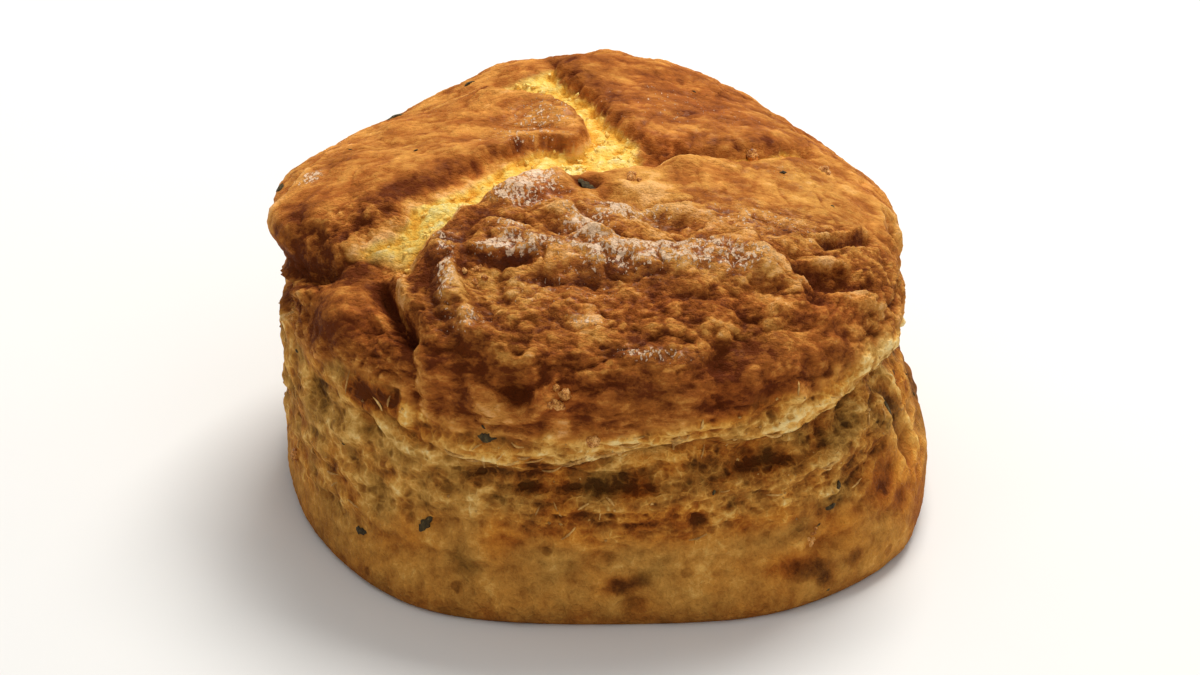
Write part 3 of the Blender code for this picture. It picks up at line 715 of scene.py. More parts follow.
# The ragged edge of the lip: azimuth, height along it, and how far below and above it torn strips lie
LIP_EDGE = (
    (-118, 21.0), (-97, 21.6), (-88, 22.8), (-78, 24.0), (-71, 24.2), (-62, 23.4), (-50, 24.2), (-36, 26.4),
)
LIP_STRIPS = 12
LIP_REACH = (-0.7, 0.9)
HERBS = (
    Herb("top", (-1.5, -4.2), -30, 2.6, 1.5),
    Herb("wall", (-109, 23.9), 10, 2.6, 1.3),
    Herb("wall", (-121, 10.8), 60, 2.8, 1.1),
    Herb("wall", (-135, 6.5), 10, 2.4, 1.1),
    Herb("wall", (-26, 16.2), 80, 3.4, 1.1),
    Herb("wall", (-24, 21.4), 10, 1.6, 0.8),
    Herb("wall", (-47, 13.7), 30, 1.2, 0.7),
    Herb("wall", (-49, 11.6), 15, 1.8, 0.8),
    Herb("wall", (171, 34.0), 20, 2.4, 1.1),
    Herb("top", (-25, 22), 20, 2.8, 1.2),
    Herb("top", (-16, 27), 30, 2.0, 1.0),
)
HERB_THICK = 0.3
SMALL_HERB_THICK = 0.22
CRACKLINGS = (
    Crackling("wall", (-97, 29.5), 2.4),
    Crackling("top", (4.2, -3.4), 1.8),
    Crackling("top", (-14.2, -22.6), 1.6),
    Crackling("wall", (-53, 8.6), 1.2),
)
CRACKLING_BLISTERS = 7
# The seeds of the lumps that crumbs and blisters of crackling are chosen from
CRUMB_SEEDS = range(40, 46)
CRACKLING_SEEDS = range(60, 64)

LAMPS = (
    Lamp(name="key", azimuth=66, elevation=60, distance=0.7, size=0.35, colour=(1.0, 0.97, 0.92)),
    Lamp(name="fill", azimuth=-70, elevation=35, distance=0.8, size=0.5, colour=(1.0, 0.99, 0.97)),
)
LAMPS_AIM = Vector((0, 0, 0.02))
SKY_COLOUR = (1.0, 0.99, 0.97, 1.0)
FLOOR_RADIUS = 3.0
FLOOR_SHADE = 0.97

# How far the scone is baked where no stain lies, which the wall's tone is counted from
EVEN_BAKE = 0.48
BLUR_CUTS = 128
# From how far out a place on the surface is looked for, in millimetres
BEYOND = 90


def read(mesh, what):
    flat = np.empty(len(mesh.vertices) * 3)
    mesh.vertices.foreach_get(what, flat)
    return flat.reshape(-1, 3)


def move_to(mesh, points):
    mesh.vertices.foreach_set("co", points.ravel())
    mesh.update()


def smooth_curve(points, steps):
    """A Catmull-Rom curve through the points, with steps to each span."""
    points = np.array(points, float)
    ends = np.vstack([2 * points[0] - points[1], points, 2 * points[-1] - points[-2]])
    t = np.linspace(0, 1, steps, endpoint=False)[:, None]
    spans = [
        0.5 * (2 * b + (c - a) * t + (2 * a - 5 * b + 4 * c - d) * t**2 + (3 * b - a - 3 * c + d) * t**3)
        for a, b, c, d in zip(ends, ends[1:], ends[2:], ends[3:])
    ]
    return np.vstack([*spans, points[-1:]])


def smooth_step(low, high, value):
    t = np.clip((value - low) / (high - low), 0, 1)
    return t * t * (3 - 2 * t)


def ball_of_quads(cuts):
    """A cube cut into a grid and blown up to a unit ball, whose quads are of nearly one size."""
    mesh = bpy.data.meshes.new("baked_scone")
    work = bmesh.new()
    bmesh.ops.create_cube(work, size=2.0)
    bmesh.ops.subdivide_edges(work, edges=work.edges, cuts=cuts - 1, use_grid_fill=True)
    work.to_mesh(mesh)
    work.free()
    points = np.tan(read(mesh, "co") * math.pi / 4)
    move_to(mesh, points / np.linalg.norm(points, axis=1)[:, None])
    return mesh


def plain_body(directions):
    """The body before it cracks: the section swept round, then swollen and heaped."""
    section = np.vstack([smooth_curve(SECTION, 24), [(0.0, 0.0)]])
    step = np.linalg.norm(np.diff(section, axis=0), axis=1)
    middle = (section[1:] + section[:-1]) / 2
    share_of_quads = np.where(middle[:, 1] == 0.0, BASE_SHARE, 1.0)
    reach = np.concatenate([[0], np.cumsum(middle[:, 0] * step * share_of_quads)])
    along = (1 - directions[:, 2]) / 2 * reach[-1]
    radius = np.interp(along, reach, section[:, 0])
    height = np.maximum(np.interp(along, reach, section[:, 1]), 0.0)
    azimuth = np.arctan2(directions[:, 1], directions[:, 0])
    corners = np.abs(np.cos(azimuth)) ** SQUARENESS + np.abs(np.sin(azimuth)) ** SQUARENESS
    radius *= corners ** (-1 / SQUARENESS)
    near_wall = smooth_step(10, 34, radius)
    for s in SWELLINGS:
        turn = (np.degrees(azimuth) - s.azimuth + 180) % 360 - 180
        radius += s.by * near_wall * np.exp(-((turn / s.spread) ** 2) - ((height - s.height) / s.tall) ** 2)
    x, y = radius * np.cos(azimuth), radius * np.sin(azimuth)
    near_top = smooth_step(14, 34, height)
    for h in HILLS:
        height += h.by * near_top * np.exp(-((x - h.x) ** 2 + (y - h.y) ** 2) / h.radius**2)
    return np.stack([x, y, height], axis=1)


def skin_of(mesh, scale=1.0):
    """A mesh's surface, for finding places on it."""
    points = read(mesh, "co") * scale
    faces = [tuple(face.vertices) for face in mesh.polygons]
    return BVHTree.FromPolygons([Vector(point) for point in points], faces)


def place_on(skin, where, pair):
    """The point and the outward direction of a surface at x, y or at azimuth, height."""
    if where == "top":
        start, way = Vector((*pair, BEYOND)), Vector((0, 0, -1))
    else:
        azimuth = math.radians(pair[0])
        out = Vector((math.cos(azimuth), math.sin(azimuth), 0))
        start, way = out * BEYOND + Vector((0, 0, pair[1])), -out
    point, normal, _, _ = skin.ray_cast(start, way)
    return np.array(point), np.array(normal)


def across(points, line, normals):
    """For each point: its distance to the left of the line, how far along it lies, and the line's length."""
    spans = np.diff(line, axis=0)
    lengths = np.linalg.norm(spans, axis=1)
    starts = np.concatenate([[0], np.cumsum(lengths)])
    nearest = np.full(len(points), np.inf)
    side = np.zeros(len(points))
    along = np.zeros(len(points))
    for corner, normal, span, length, start in zip(line, normals, spans, lengths, starts):
        t = np.clip(((points - corner) @ span) / length**2, 0, 1)
        gap = points - corner - t[:, None] * span
        distance = np.linalg.norm(gap, axis=1)
        nearer = distance < nearest
        nearest[nearer] = distance[nearer]
        side[nearer] = np.sign(gap[nearer] @ np.cross(normal, span))
        along[nearer] = start + t[nearer] * length
    return nearest * side, along, starts[-1]


def near_line(points, line, reach):
    low, high = line.min(axis=0) - reach, line.max(axis=0) + reach
    return np.flatnonzero(((points > low) & (points < high)).all(axis=1))


def traced(skin, where, pairs, steps=4):
    """A line on a surface and the surface's outward directions along it."""
    pairs = smooth_curve(pairs, steps)
    return (np.array(part) for part in zip(*(place_on(skin, where, pair) for pair in pairs)))


def plates_rise(points):
    """How far the lifted parts of the crust stand out, how scorched their edges are, and their cover.

    Their cover is the rise before it fades out towards the wall: it is small only where the crumb lies bare.
    """
    total, scorched = np.zeros(len(points)), np.zeros(len(points))
    cover = np.full(len(points), PLATE_LEVEL)
    high = np.flatnonzero(points[:, 2] > 24)
    places = points[high]
    top = smooth_step(24, 33, places[:, 2])
    notches = grain(places, 2.4, 21, 3)
    cover[high] = 0.0
    for plate in PLATES:
        line = smooth_curve(plate.edge, 4)
        line = np.column_stack([line, np.zeros(len(line))])
        upright = np.tile((0.0, 0.0, 1.0), (len(line), 1))
        inside, along, length = across(places * (1, 1, 0), line, upright)
        inside = inside + notches * plate.ragged * smooth_step(6, 1, np.abs(inside))
        inside /= np.interp(along / length, *np.array(plate.slopes).T)
        first, last = plate.tapers
        kept = smooth_step(0, first, along) * smooth_step(0, last, length - along)
        rise = PLATE_LEVEL + (np.interp(inside, *np.array(plate.rise).T) - PLATE_LEVEL) * kept
        cover[high] = np.maximum(cover[high], rise)
        total[high] = np.maximum(total[high], rise * top)
        scorched[high] += np.interp(inside, *np.array(plate.scorch).T) * kept * (inside > plate.scorch[0][0])
    return total, scorched, cover


def seams_rise(skin, points):
    total = np.zeros(len(points))
    for seam in SEAMS:
        line, normals = traced(skin, seam.where, seam.line)
        offset, rise = np.array(seam.section).T
        near = near_line(points, line, np.abs(offset).max() + 1)
        side, along, length = across(points[near], line, normals)
        rise = np.interp(side, (offset[0] - 1, *offset, offset[-1] + 1), (0, *rise, 0))
        total[near] += rise * smooth_step(0, seam.taper, along) * smooth_step(0, seam.taper, length - along)
    return total


def oval(skin, points, spot):
    """How near each point is to the middle of a spot: 1 there, and falling to 0 past its rim."""
    centre, out = place_on(skin, spot.where, spot.place)
    up = np.array((0.0, 1.0, 0.0) if spot.where == "top" else (0.0, 0.0, 1.0))
    sideways = np.cross(up, out)
    sideways /= np.linalg.norm(sideways)
    gap = points - centre
    squared = ((gap @ sideways) / spot.across) ** 2 + ((gap @ np.cross(out, sideways)) / spot.tall) ** 2
    squared += ((gap @ out) / (spot.across + spot.tall)) ** 2
    return np.exp(-(squared**1.5))


def pocks_rise(skin, points):
    return sum(pock.by * oval(skin, points, pock) for pock in POCKS)


def grain(points, size, seed, octaves, soft=0.9):
    """Uneven ground of about one unit either way, whose lumps are the size given."""
    shift = np.array((seed * 17.3, seed * 5.1, seed * 9.7))
    cells = (points / size + shift).tolist()
    return np.array([noise.fractal(cell, soft, 2.1, octaves) for cell in cells])


def pebbles(points, size, seed):
    """Rounded bumps packed side by side: 1 at the middle of each and 0 between them."""
    cells = (points / size + seed * 7.7).tolist()
    nearest = np.array([noise.voronoi(cell)[0][0] for cell in cells])
    return smooth_step(0.62, 0.08, nearest)


def pores(points, size, seed):
    """Bubbles torn open: some cells are holes, each of its own depth up to 1, parted by thin walls."""
    depths = []
    for cell in (points / size + seed * 3.3).tolist():
        distances, centres = noise.voronoi(cell)
        hole = min(max((distances[1] - distances[0]) / 0.4, 0.0), 1.0)
        deep = max(noise.cell(centres[0] * 9.1) * 1.6 - 0.6, 0.0)
        depths.append(hole * hole * (3 - 2 * hole) * deep)
    return np.array(depths)


def round_the_wall(points, table):
    """A height that changes round the scone, from a table of azimuth and height."""
    azimuth = np.degrees(np.arctan2(points[:, 1], points[:, 0]))
    return np.interp(azimuth, *np.array(table).T, period=360)


class Regions:
    """Where the crust, the torn wall, its smooth foot and the bare crumb lie, each from 0 to 1."""

    def __init__(self, skin, points, cover):
        y, z = points[:, 1], points[:, 2]
        wander = grain(points, 3.4, 31, 3) * 1.3
        edge = round_the_wall(points, CRUST_EDGE) + wander
        self.crust = smooth_step(-1.1, 1.1, z - edge)
        self.front = self.crust * smooth_step(-2, -12, y)
        bare = smooth_step(0.95, 0.3, cover + wander * 0.12) * smooth_step(27, 31, z)
        self.crumb = np.clip(bare + stained(skin, points, "crumb"), 0, 1)
        self.rough_crust = self.front * (1 - self.crumb)
        self.even_crust = self.crust * (1 - self.front) * (1 - self.crumb)
        foot = round_the_wall(points, FOOT_EDGE) + wander
        self.torn = (1 - self.crust) * smooth_step(-1.5, 3.0, z - foot)
        self.foot = (1 - self.crust) * (1 - self.torn)
        azimuth = np.degrees(np.arctan2(points[:, 1], points[:, 0]))
        in_front = smooth_step(*LAYERS_START, azimuth) * smooth_step(*LAYERS_END, azimuth)
        self.layers = self.torn * in_front
        self.mottled = self.torn * (1 - in_front)
        self.smooth = np.clip(stained(skin, points, "smooth"), 0, 1)
        self.bubbles = np.clip(stained(skin, points, "bubbles"), 0, 1)


def ground(points):
    """The unevenness of the crust, of the crags on its front, of the torn wall and of the foot."""
    y, z = points[:, 1], points[:, 2]
    crust = smooth_step(CRUST_LINE - 1, CRUST_LINE + 3, z)
    front = crust * smooth_step(-2, -12, y)
    wall = (1 - crust) * smooth_step(3, 9, z)
    flat_layers = points * (1, 1, 1.7)
    return (
        grain(points, 9.0, 1, 2) * 0.5 * crust
        + grain(points, 4.8, 2, 2) * 0.85 * front
        + grain(flat_layers, 4.6, 3, 2) * 0.70 * wall
        + grain(points, 11.0, 4, 1) * 0.4 * (1 - crust)
    )


def creases(points, size, seed):
    """Thin branching lines: 1 along each and 0 between them."""
    return np.clip(1 - np.abs(grain(points, size, seed, 2)) * 5, 0, 1) ** 2


def blisters(points, size, seed):
    """Rounded swellings parted by sharp valleys: 0 in the valleys and about 1 on top."""
    return np.abs(grain(points, size, seed, 2)) * 2.2


PATTERNS = {"grain": grain, "creases": creases, "blisters": blisters, "pores": pores, "pebbles": pebbles}


def fine_ground(points, on):
    """The small relief of each region, worked out only where the region is felt."""
    rise = np.zeros(len(points))
    for relief in FINE_RELIEF:
        mask = getattr(on, relief.region)
        felt = np.flatnonzero(mask > 0.01)
        places = points[felt] * relief.squeeze
        shape = PATTERNS[relief.pattern](places, relief.size, relief.seed, *relief.detail)
        rise[felt] += shape * mask[felt] * relief.high
    return rise * (1 - on.smooth)


def blurred(values, edges, rounds):
    """Values smoothed over the mesh by taking each point's mean with its neighbours, again and again."""
    a, b = edges.T
    count = np.bincount(a, minlength=len(values)) + np.bincount(b, minlength=len(values)) + 1.0
    for _ in range(rounds):
        near = np.bincount(a, values[b], len(values)) + np.bincount(b, values[a], len(values))
        values = (values + near) / count
    return values


def standing(rise, edges, rounds, most):
    """How far each point stands out from its surroundings: 0 in a hollow, 0.5 level and 1 on a ridge."""
    return 0.5 + 0.5 * np.clip((rise - blurred(rise, edges, rounds)) / most, -1, 1)


def edges_of(mesh):
    flat = np.empty(len(mesh.edges) * 2, int)
    mesh.edges.foreach_get("vertices", flat)
    return flat.reshape(-1, 2)


def write_mask(mesh, name, values):
    layer = mesh.attributes.new(name, "FLOAT", "POINT")
    layer.data.foreach_set("value", np.clip(values, 0, 1).astype(np.float32))


def stained(skin, points, mask):
    """How strongly the stains and bands of one mask lie on each point."""
    total = np.zeros(len(points))
    for stain in STAINS[mask]:
        total += stain.by * oval(skin, points, stain)
    for band in BANDS.get(mask, ()):
        line, normals = traced(skin, band.where, band.line)
        near = near_line(points, line, band.wide * 3)
        side, _, _ = across(points[near], line, normals)
        total[near] += band.by * np.exp(-((side / band.wide) ** 2))
    return total


def lightened(mesh, triangles):
    """The same surface with fewer triangles, kept where its relief needs them."""
    body = bpy.data.objects.new("lightened", mesh)
    bpy.context.scene.collection.objects.link(body)
    lighten = body.modifiers.new("lighten", "DECIMATE")
    lighten.ratio = triangles / (2 * len(mesh.polygons))
    light = bpy.data.meshes.new_from_object(body.evaluated_get(bpy.context.evaluated_depsgraph_get()))
    bpy.data.objects.remove(body)
    return light


def scone_mesh(look, cuts, triangles):
    """The whole scone as one closed mesh, with a mask for each thing that its material tells apart."""
    mesh = ball_of_quads(cuts)
    move_to(mesh, plain_body(read(mesh, "co")))
    plain, normals = read(mesh, "co"), read(mesh, "normal")
    skin = skin_of(mesh)
    plates, scorched, cover = plates_rise(plain)
    on = Regions(skin, plain, cover)
    rise = plates + seams_rise(skin, plain) + pocks_rise(skin, plain) + ground(plain)
    rise += fine_ground(plain, on)
    rise *= smooth_step(0.0, 1.2, plain[:, 2])
    points = plain + normals * rise[:, None]
    points[:, 2] = np.maximum(points[:, 2], 0.0)
    edges = edges_of(mesh)
    finer = (cuts / BLUR_CUTS) ** 2
    masks = {
        "crust": on.crust,
        "crumb": on.crumb,
        "torn": on.torn,
        "crisp": (0.3 + 0.7 * on.front) * (1 - 0.5 * on.smooth),
        # How far each point stands out, which the materials read to paint light on ridges and shade in
        # hollows
        "fine_height": standing(rise, edges, round(6 * finer), 0.30),
        "broad_height": standing(rise, edges, round(60 * finer), 1.0),
        # Real browning, with the painted shade and highlight of its stains
        "bake": look.bake + stained(skin, plain, "bake") + scorched,
        "warm": look.warmth + stained(skin, plain, "warm"),
        "pale": stained(skin, plain, "pale"),
        "glaze": look.glaze + stained(skin, plain, "glaze"),
    }
    for name, values in masks.items():
        write_mask(mesh, name, values)
    move_to(mesh, points * MM)
    if triangles and 2 * len(mesh.polygons) > triangles:
        return lightened(mesh, triangles)
    return mesh


class Graph:
    """A node tree being drawn. Each call adds a node and sets or links its inputs."""

    def __init__(self, tree):
        self.tree = tree

    def feed(self, node, inputs):
        for key, value in inputs.items():
            if isinstance(value, bpy.types.NodeSocket):
                self.tree.links.new(value, node.inputs[key])
            else:
                node.inputs[key].default_value = value

    def add(self, kind, inputs=None, **settings):
        made = self.tree.nodes.new("ShaderNode" + kind)
        for name, value in settings.items():
            setattr(made, name, value)
        self.feed(made, inputs or {})
        return made

    def group(self, tree, inputs):
        made = self.tree.nodes.new("ShaderNodeGroup")
        made.node_tree = tree
        self.feed(made, inputs)
        return made.outputs

    def sum(self, a, b):
        return self.add("Math", {0: a, 1: b}, operation="ADD").outputs[0]

    def times(self, a, b):
        return self.add("Math", {0: a, 1: b}, operation="MULTIPLY").outputs[0]

    def plus(self, base, value, weight, middle=0.5):
        """base + (value - middle) * weight"""
        moved = self.add("Math", {0: value, 1: weight, 2: -middle * weight}, operation="MULTIPLY_ADD")
        return self.sum(base, moved.outputs[0])

    def weighed(self, base, *terms):
        """A base with each term added by its weight, counted from its middle."""
        for term in terms:
            base = self.plus(base, *term)
        return base

    def between(self, value, low, high, to_low=0.0, to_high=1.0):
        inputs = {0: value, 1: low, 2: high, 3: to_low, 4: to_high}
        return self.add("MapRange", inputs, interpolation_type="SMOOTHSTEP").outputs[0]

    def stretched(self, value):
        """A cloud's values, which crowd round a half, spread over 0 to 1."""
        return self.add("MapRange", {0: value, 1: 0.3, 2: 0.7}).outputs[0]

    def mix(self, share, a, b):
        return self.add("Mix", {0: share, 6: a, 7: b}, data_type="RGBA").outputs[2]

    def blend(self, share, a, b):
        return self.add("Mix", {0: share, 2: a, 3: b}, data_type="FLOAT").outputs[0]

    def ramp(self, value, stops):
        made = self.add("ValToRGB", {0: value})
        elements = made.color_ramp.elements
        while len(elements) < len(stops):
            elements.new(0.5)
        for element, (place, colour) in zip(elements, stops):
            element.position = place
            element.color = (*colour, 1.0)
        return made.outputs[0]

    def mask(self, name):
        return self.add("Attribute", attribute_name=name).outputs["Fac"]

    def millimetres(self):
        """Places on the object, in millimetres."""
        place = self.add("TexCoord").outputs["Object"]
        return self.add("VectorMath", {0: place, "Scale": 1 / MM}, operation="SCALE").outputs[0]

    def divided(self, place, size):
        return self.add("VectorMath", {0: place, 1: size}, operation="DIVIDE").outputs[0]

    def one_over(self, size):
        return self.add("Math", {0: 1.0, 1: size}, operation="DIVIDE").outputs[0]

    def bent(self, place, scale, detail):
        """Places pushed about, so that what is drawn at them has no straight edges."""
        push = self.add("TexNoise", {"Vector": place, "Scale": scale, "Detail": detail}).outputs["Color"]
        return self.add("VectorMath", {0: push, 1: place}, operation="ADD").outputs[0]

    def cloud(self, place, size, detail=4.0, roughness=0.6):
        inputs = {"Vector": place, "Scale": 1 / size, "Detail": detail, "Roughness": roughness}
        return self.add("TexNoise", inputs).outputs[0]

    def cells(self, place, scale):
        """Cells packed side by side: each one's own chance, and how far each place is from its middle."""
        made = self.add("TexVoronoi", {"Vector": place, "Scale": scale}, feature="F1")
        chance = self.add("SeparateColor", {0: made.outputs["Color"]}).outputs[0]
        return chance, made.outputs["Distance"]


def effect(name, inputs, outputs, draw):
    """A shader node group, built once and shared by the materials."""
    tree = bpy.data.node_groups.get(name)
    if tree:
        return tree
    tree = bpy.data.node_groups.new(name, "ShaderNodeTree")
    for label, kind, value in inputs:
        socket = tree.interface.new_socket(label, in_out="INPUT", socket_type="NodeSocket" + kind)
        if value is not None:
            socket.default_value = value
    for label, kind in outputs:
        tree.interface.new_socket(label, in_out="OUTPUT", socket_type="NodeSocket" + kind)
    graph = Graph(tree)
    given = tree.nodes.new("NodeGroupInput")
    put_out = tree.nodes.new("NodeGroupOutput")
    for label, socket in draw(graph, given.outputs).items():
        tree.links.new(socket, put_out.inputs[label])
    return tree


def dough_grain():
    """The mottle and the fine grain of baked dough, at a size given in millimetres."""

    def draw(graph, given):
        place = graph.divided(given["Place"], given["Size"])
        broad = graph.stretched(graph.cloud(place, 3.2, 4.0, 0.6))
        middle = graph.stretched(graph.cloud(place, 1.1, 4.0, 0.66))
        fine = graph.stretched(graph.cloud(place, 0.34, 3.0, 0.7))
        height = graph.sum(graph.times(middle, 0.6), graph.times(fine, 0.4))
        return {"Broad": broad, "Middle": middle, "Fine": fine, "Height": height}

    inputs = (("Place", "Vector", None), ("Size", "Vector", (1.0, 1.0, 1.0)))
    outputs = (("Broad", "Float"), ("Middle", "Float"), ("Fine", "Float"), ("Height", "Float"))
    return effect("dough grain", inputs, outputs, draw)


def browning_and_shading():
    """Crust colour from gold to nearly burnt by how far it has baked, and from golden to ruddy, with painted
    light on ridges and painted shade in hollows by their height.
    """

    def draw(graph, given):
        # Height is painted light and shade: ridges are drawn paler and hollows darker
        tone = graph.weighed(
            given["Bake"], (given["Mottle"], 0.55), (given["Grain"], 0.80), (given["Height"], -0.75)
        )
        golden, ruddy = graph.ramp(tone, GOLD_CRUST), graph.ramp(tone, RUDDY_CRUST)
        return {"Colour": graph.mix(given["Ruddy"], golden, ruddy)}

    names = ("Bake", "Mottle", "Grain", "Height", "Ruddy")
    inputs = tuple((name, "Float", 0.5) for name in names)
    return effect("oven browning", inputs, (("Colour", "Color"),), draw)


def baked_spots():
    """Scattered small spots, each of its own size: 1 in the middle of each and 0 off them."""

    def draw(graph, given):
        place = graph.bent(given["Place"], 1.1, 2.0)
        chance, distance = graph.cells(place, graph.one_over(given["Apart"]))
        reach = graph.between(chance, given["Spared"], 1.0, 0.0, given["Widest"])
        within = graph.add("Math", {0: reach, 1: distance}, operation="SUBTRACT").outputs[0]
        return {"Spots": graph.between(within, 0.0, 0.12)}

    sizes = (("Apart", "Float", 2.0), ("Spared", "Float", 0.6), ("Widest", "Float", 0.3))
    inputs = (("Place", "Vector", None), *sizes)
    return effect("baked spots", inputs, (("Spots", "Float"),), draw)


def bread_foam():
    """The burst bubbles of torn dough, a size in millimetres apart: the thin walls left, and the pits."""

    def draw(graph, given):
        place = graph.bent(given["Place"], 0.5, 1.0)
        scale = graph.one_over(given["Size"])
        grid = {"Vector": place, "Scale": scale}
        edge = graph.add("TexVoronoi", grid, feature="DISTANCE_TO_EDGE").outputs[0]
        chance, _ = graph.cells(place, scale)
        wall = graph.between(edge, 0.12, 0.0)
        depth = graph.between(chance, given["Spared"], 1.0, 0.1, 1.0)
        return {"Walls": wall, "Pits": graph.times(graph.between(edge, 0.06, 0.34), depth)}

    inputs = (("Place", "Vector", None), ("Size", "Float", 0.8), ("Spared", "Float", 0.4))
    return effect("bread foam", inputs, (("Walls", "Float"), ("Pits", "Float")), draw)


def painted_glints():
    """Fine pale flecks of painted glint where the glaze catches the light, a size in millimetres wide,
    gathered in patches.
    """

    def draw(graph, given):
        fine = graph.divided(given["Place"], given["Size"])
        broad = graph.divided(given["Place"], given["Patch"])
        patch = graph.between(graph.stretched(graph.cloud(broad, 1.0, 3.0, 0.6)), 0.2, 0.7, 0.72, 1.15)
        cover = graph.times(given["Cover"], patch)
        spread = graph.plus(graph.stretched(graph.cloud(fine, 1.0, 3.0, 0.6)), cover, 0.62, 0.0)
        return {"Flecks": graph.between(spread, 1.0, 1.15)}

    sizes = (("Size", "Vector", (0.4, 0.4, 0.4)), ("Patch", "Float", 3.0))
    inputs = (("Place", "Vector", None), *sizes, ("Cover", "Float", 0.5))
    return effect("glaze flecks", inputs, (("Flecks", "Float"),), draw)


def new_material(name):
    material = bpy.data.materials.new(name)
    material.use_nodes = True
    return material, Graph(material.node_tree), material.node_tree.nodes["Principled BSDF"]


def bumped(graph, shader, height, depth):
    bump = graph.add("Bump", {"Height": height, "Strength": 1.0, "Distance": depth * MM})
    graph.tree.links.new(bump.outputs[0], shader.inputs["Normal"])


class Baked:
    """What the crust, the wall and the crumb share: masks, the dough's grain and its dark spots."""

    def __init__(self, graph):
        names = ("crust", "crumb", "torn", "crisp", "bake", "warm", "pale", "glaze")
        self.masks = {name: graph.mask(name) for name in names}
        self.place = graph.millimetres()
        # The surface's height, which paints light on the ridges and shade in the hollows of the crust, the
        # wall and the crumb
        self.height = graph.blend(0.4, graph.mask("fine_height"), graph.mask("broad_height"))
        self.grain = graph.group(dough_grain(), {"Place": self.place})
        self.speckle = graph.blend(0.4, self.grain["Middle"], self.grain["Fine"])
        self.drift = graph.stretched(graph.cloud(self.place, 5.5, 5.0, 0.62))
        spotted = {"Place": self.place, "Apart": 2.6, "Spared": 0.6, "Widest": 0.34}
        self.dark_spots = graph.group(baked_spots(), spotted)[0]


def crust_look(graph, baked, glint_colour):
    """The crust's colour and fine relief: darker in creases as painted shade, with flecks of painted glint
    on its glaze.
    """
    bake, warm, glaze, crisp = (baked.masks[name] for name in ("bake", "warm", "glaze", "crisp"))
    creased = graph.group(dough_grain(), {"Place": baked.place, "Size": (1.6, 0.9, 0.9)})
    streaks = graph.blend(0.2, creased["Middle"], creased["Fine"])
    browned_and_shaded = {
        "Bake": graph.plus(bake, baked.dark_spots, 0.18, 0.0),
        "Mottle": creased["Broad"],
        "Grain": graph.blend(crisp, 0.5, streaks),
        "Height": baked.height,
        "Ruddy": graph.plus(warm, baked.drift, 0.7),
    }
    # Painted glints gather where the glaze is, most on the ridges
    cover = graph.between(glaze, 0.0, 0.9, 0.0, 0.98)
    cover = graph.times(cover, graph.between(baked.height, 0.2, 0.7, 0.65, 1.1))
    glint_spread = {"Place": baked.place, "Size": (0.40, 0.62, 0.62), "Patch": 2.4, "Cover": cover}
    glints = graph.group(painted_glints(), glint_spread)["Flecks"]
    crust = graph.group(browning_and_shading(), browned_and_shaded)["Colour"]
    colour = graph.mix(graph.times(glints, 0.8), crust, (*glint_colour, 1.0))
    relief = graph.sum(graph.times(creased["Middle"], 0.46), graph.times(creased["Fine"], 0.26))
    relief = graph.times(relief, graph.blend(crisp, 0.3, 1.0))
    return colour, graph.sum(relief, graph.times(glints, 0.14))


def wall_look(graph, baked):
    """The wall's colour and fine relief: burst bubbles where it tore, and plain where it is smooth."""
    torn, bake, warm, pale = (baked.masks[name] for name in ("torn", "bake", "warm", "pale"))
    big = graph.group(bread_foam(), {"Place": baked.place, "Size": 2.3, "Spared": 0.3})
    small = graph.group(bread_foam(), {"Place": baked.place, "Size": 1.15, "Spared": 0.45})
    walls = graph.blend(0.5, big["Walls"], small["Walls"])
    burst = graph.blend(torn, 0.2, 1.0)
    open_pits = graph.times(graph.blend(0.6, big["Pits"], small["Pits"]), burst)
    mottled = graph.blend(torn, 0.45, 1.0)
    # Painted light and shade: the tone is paler on ridges and darker in hollows and in the open pits
    tone = graph.weighed(
        graph.blend(0.3, 0.46, baked.speckle),
        (baked.height, 0.75),
        (graph.blend(mottled, 0.5, baked.grain["Broad"]), 0.46),
        (bake, -1.0, EVEN_BAKE),
        (pale, 0.35, 0.0),
        (graph.times(walls, burst), 0.15, 0.0),
        (open_pits, -0.36, 0.0),
        (baked.dark_spots, -0.20, 0.0),
    )
    warmth = graph.weighed(warm, (graph.blend(mottled, 0.5, baked.drift), 1.4), (pale, -0.4, 0.0))
    colour = graph.mix(warmth, graph.ramp(tone, TAN_WALL), graph.ramp(tone, WARM_WALL))
    relief = graph.sum(graph.times(baked.grain["Height"], 0.25), graph.times(walls, 0.15))
    return colour, graph.plus(relief, open_pits, -0.34, 0.0)


def crumb_look(graph, baked):
    """The colour of the bare crumb in the cracks, paler on its ridges and darker in its hollows as painted
    light and shade.
    """
    base = graph.blend(0.45, 0.68, baked.speckle)
    tone = graph.weighed(base, (baked.height, 0.85), (baked.masks["pale"], 0.5, 0.0))
    return graph.ramp(tone, CRUMB_TONES)


def scone_material(look):
    """Glazed crust, torn wall and bare crumb in one material, told apart by the mesh's own masks."""
    material, graph, shader = new_material("baked scone")
    baked = Baked(graph)
    crust, crumb, glaze = (baked.masks[name] for name in ("crust", "crumb", "glaze"))
    crust_colour, crust_relief = crust_look(graph, baked, look.glint_colour)
    wall_colour, wall_relief = wall_look(graph, baked)
    colour = graph.mix(crumb, graph.mix(crust, wall_colour, crust_colour), crumb_look(graph, baked))
    shiny = graph.times(graph.times(crust, glaze), graph.between(baked.speckle, 0.3, 0.6, 0.0, 0.35))
    rough = graph.blend(shiny, 0.74, 0.44)
    graph.feed(shader, {"Base Color": colour, "Roughness": rough, "Coat Weight": shiny})
    graph.feed(shader, {"Specular IOR Level": 0.06, "Coat Roughness": 0.26})
    bumped(graph, shader, graph.blend(crust, wall_relief, crust_relief), 1.0)
    return material


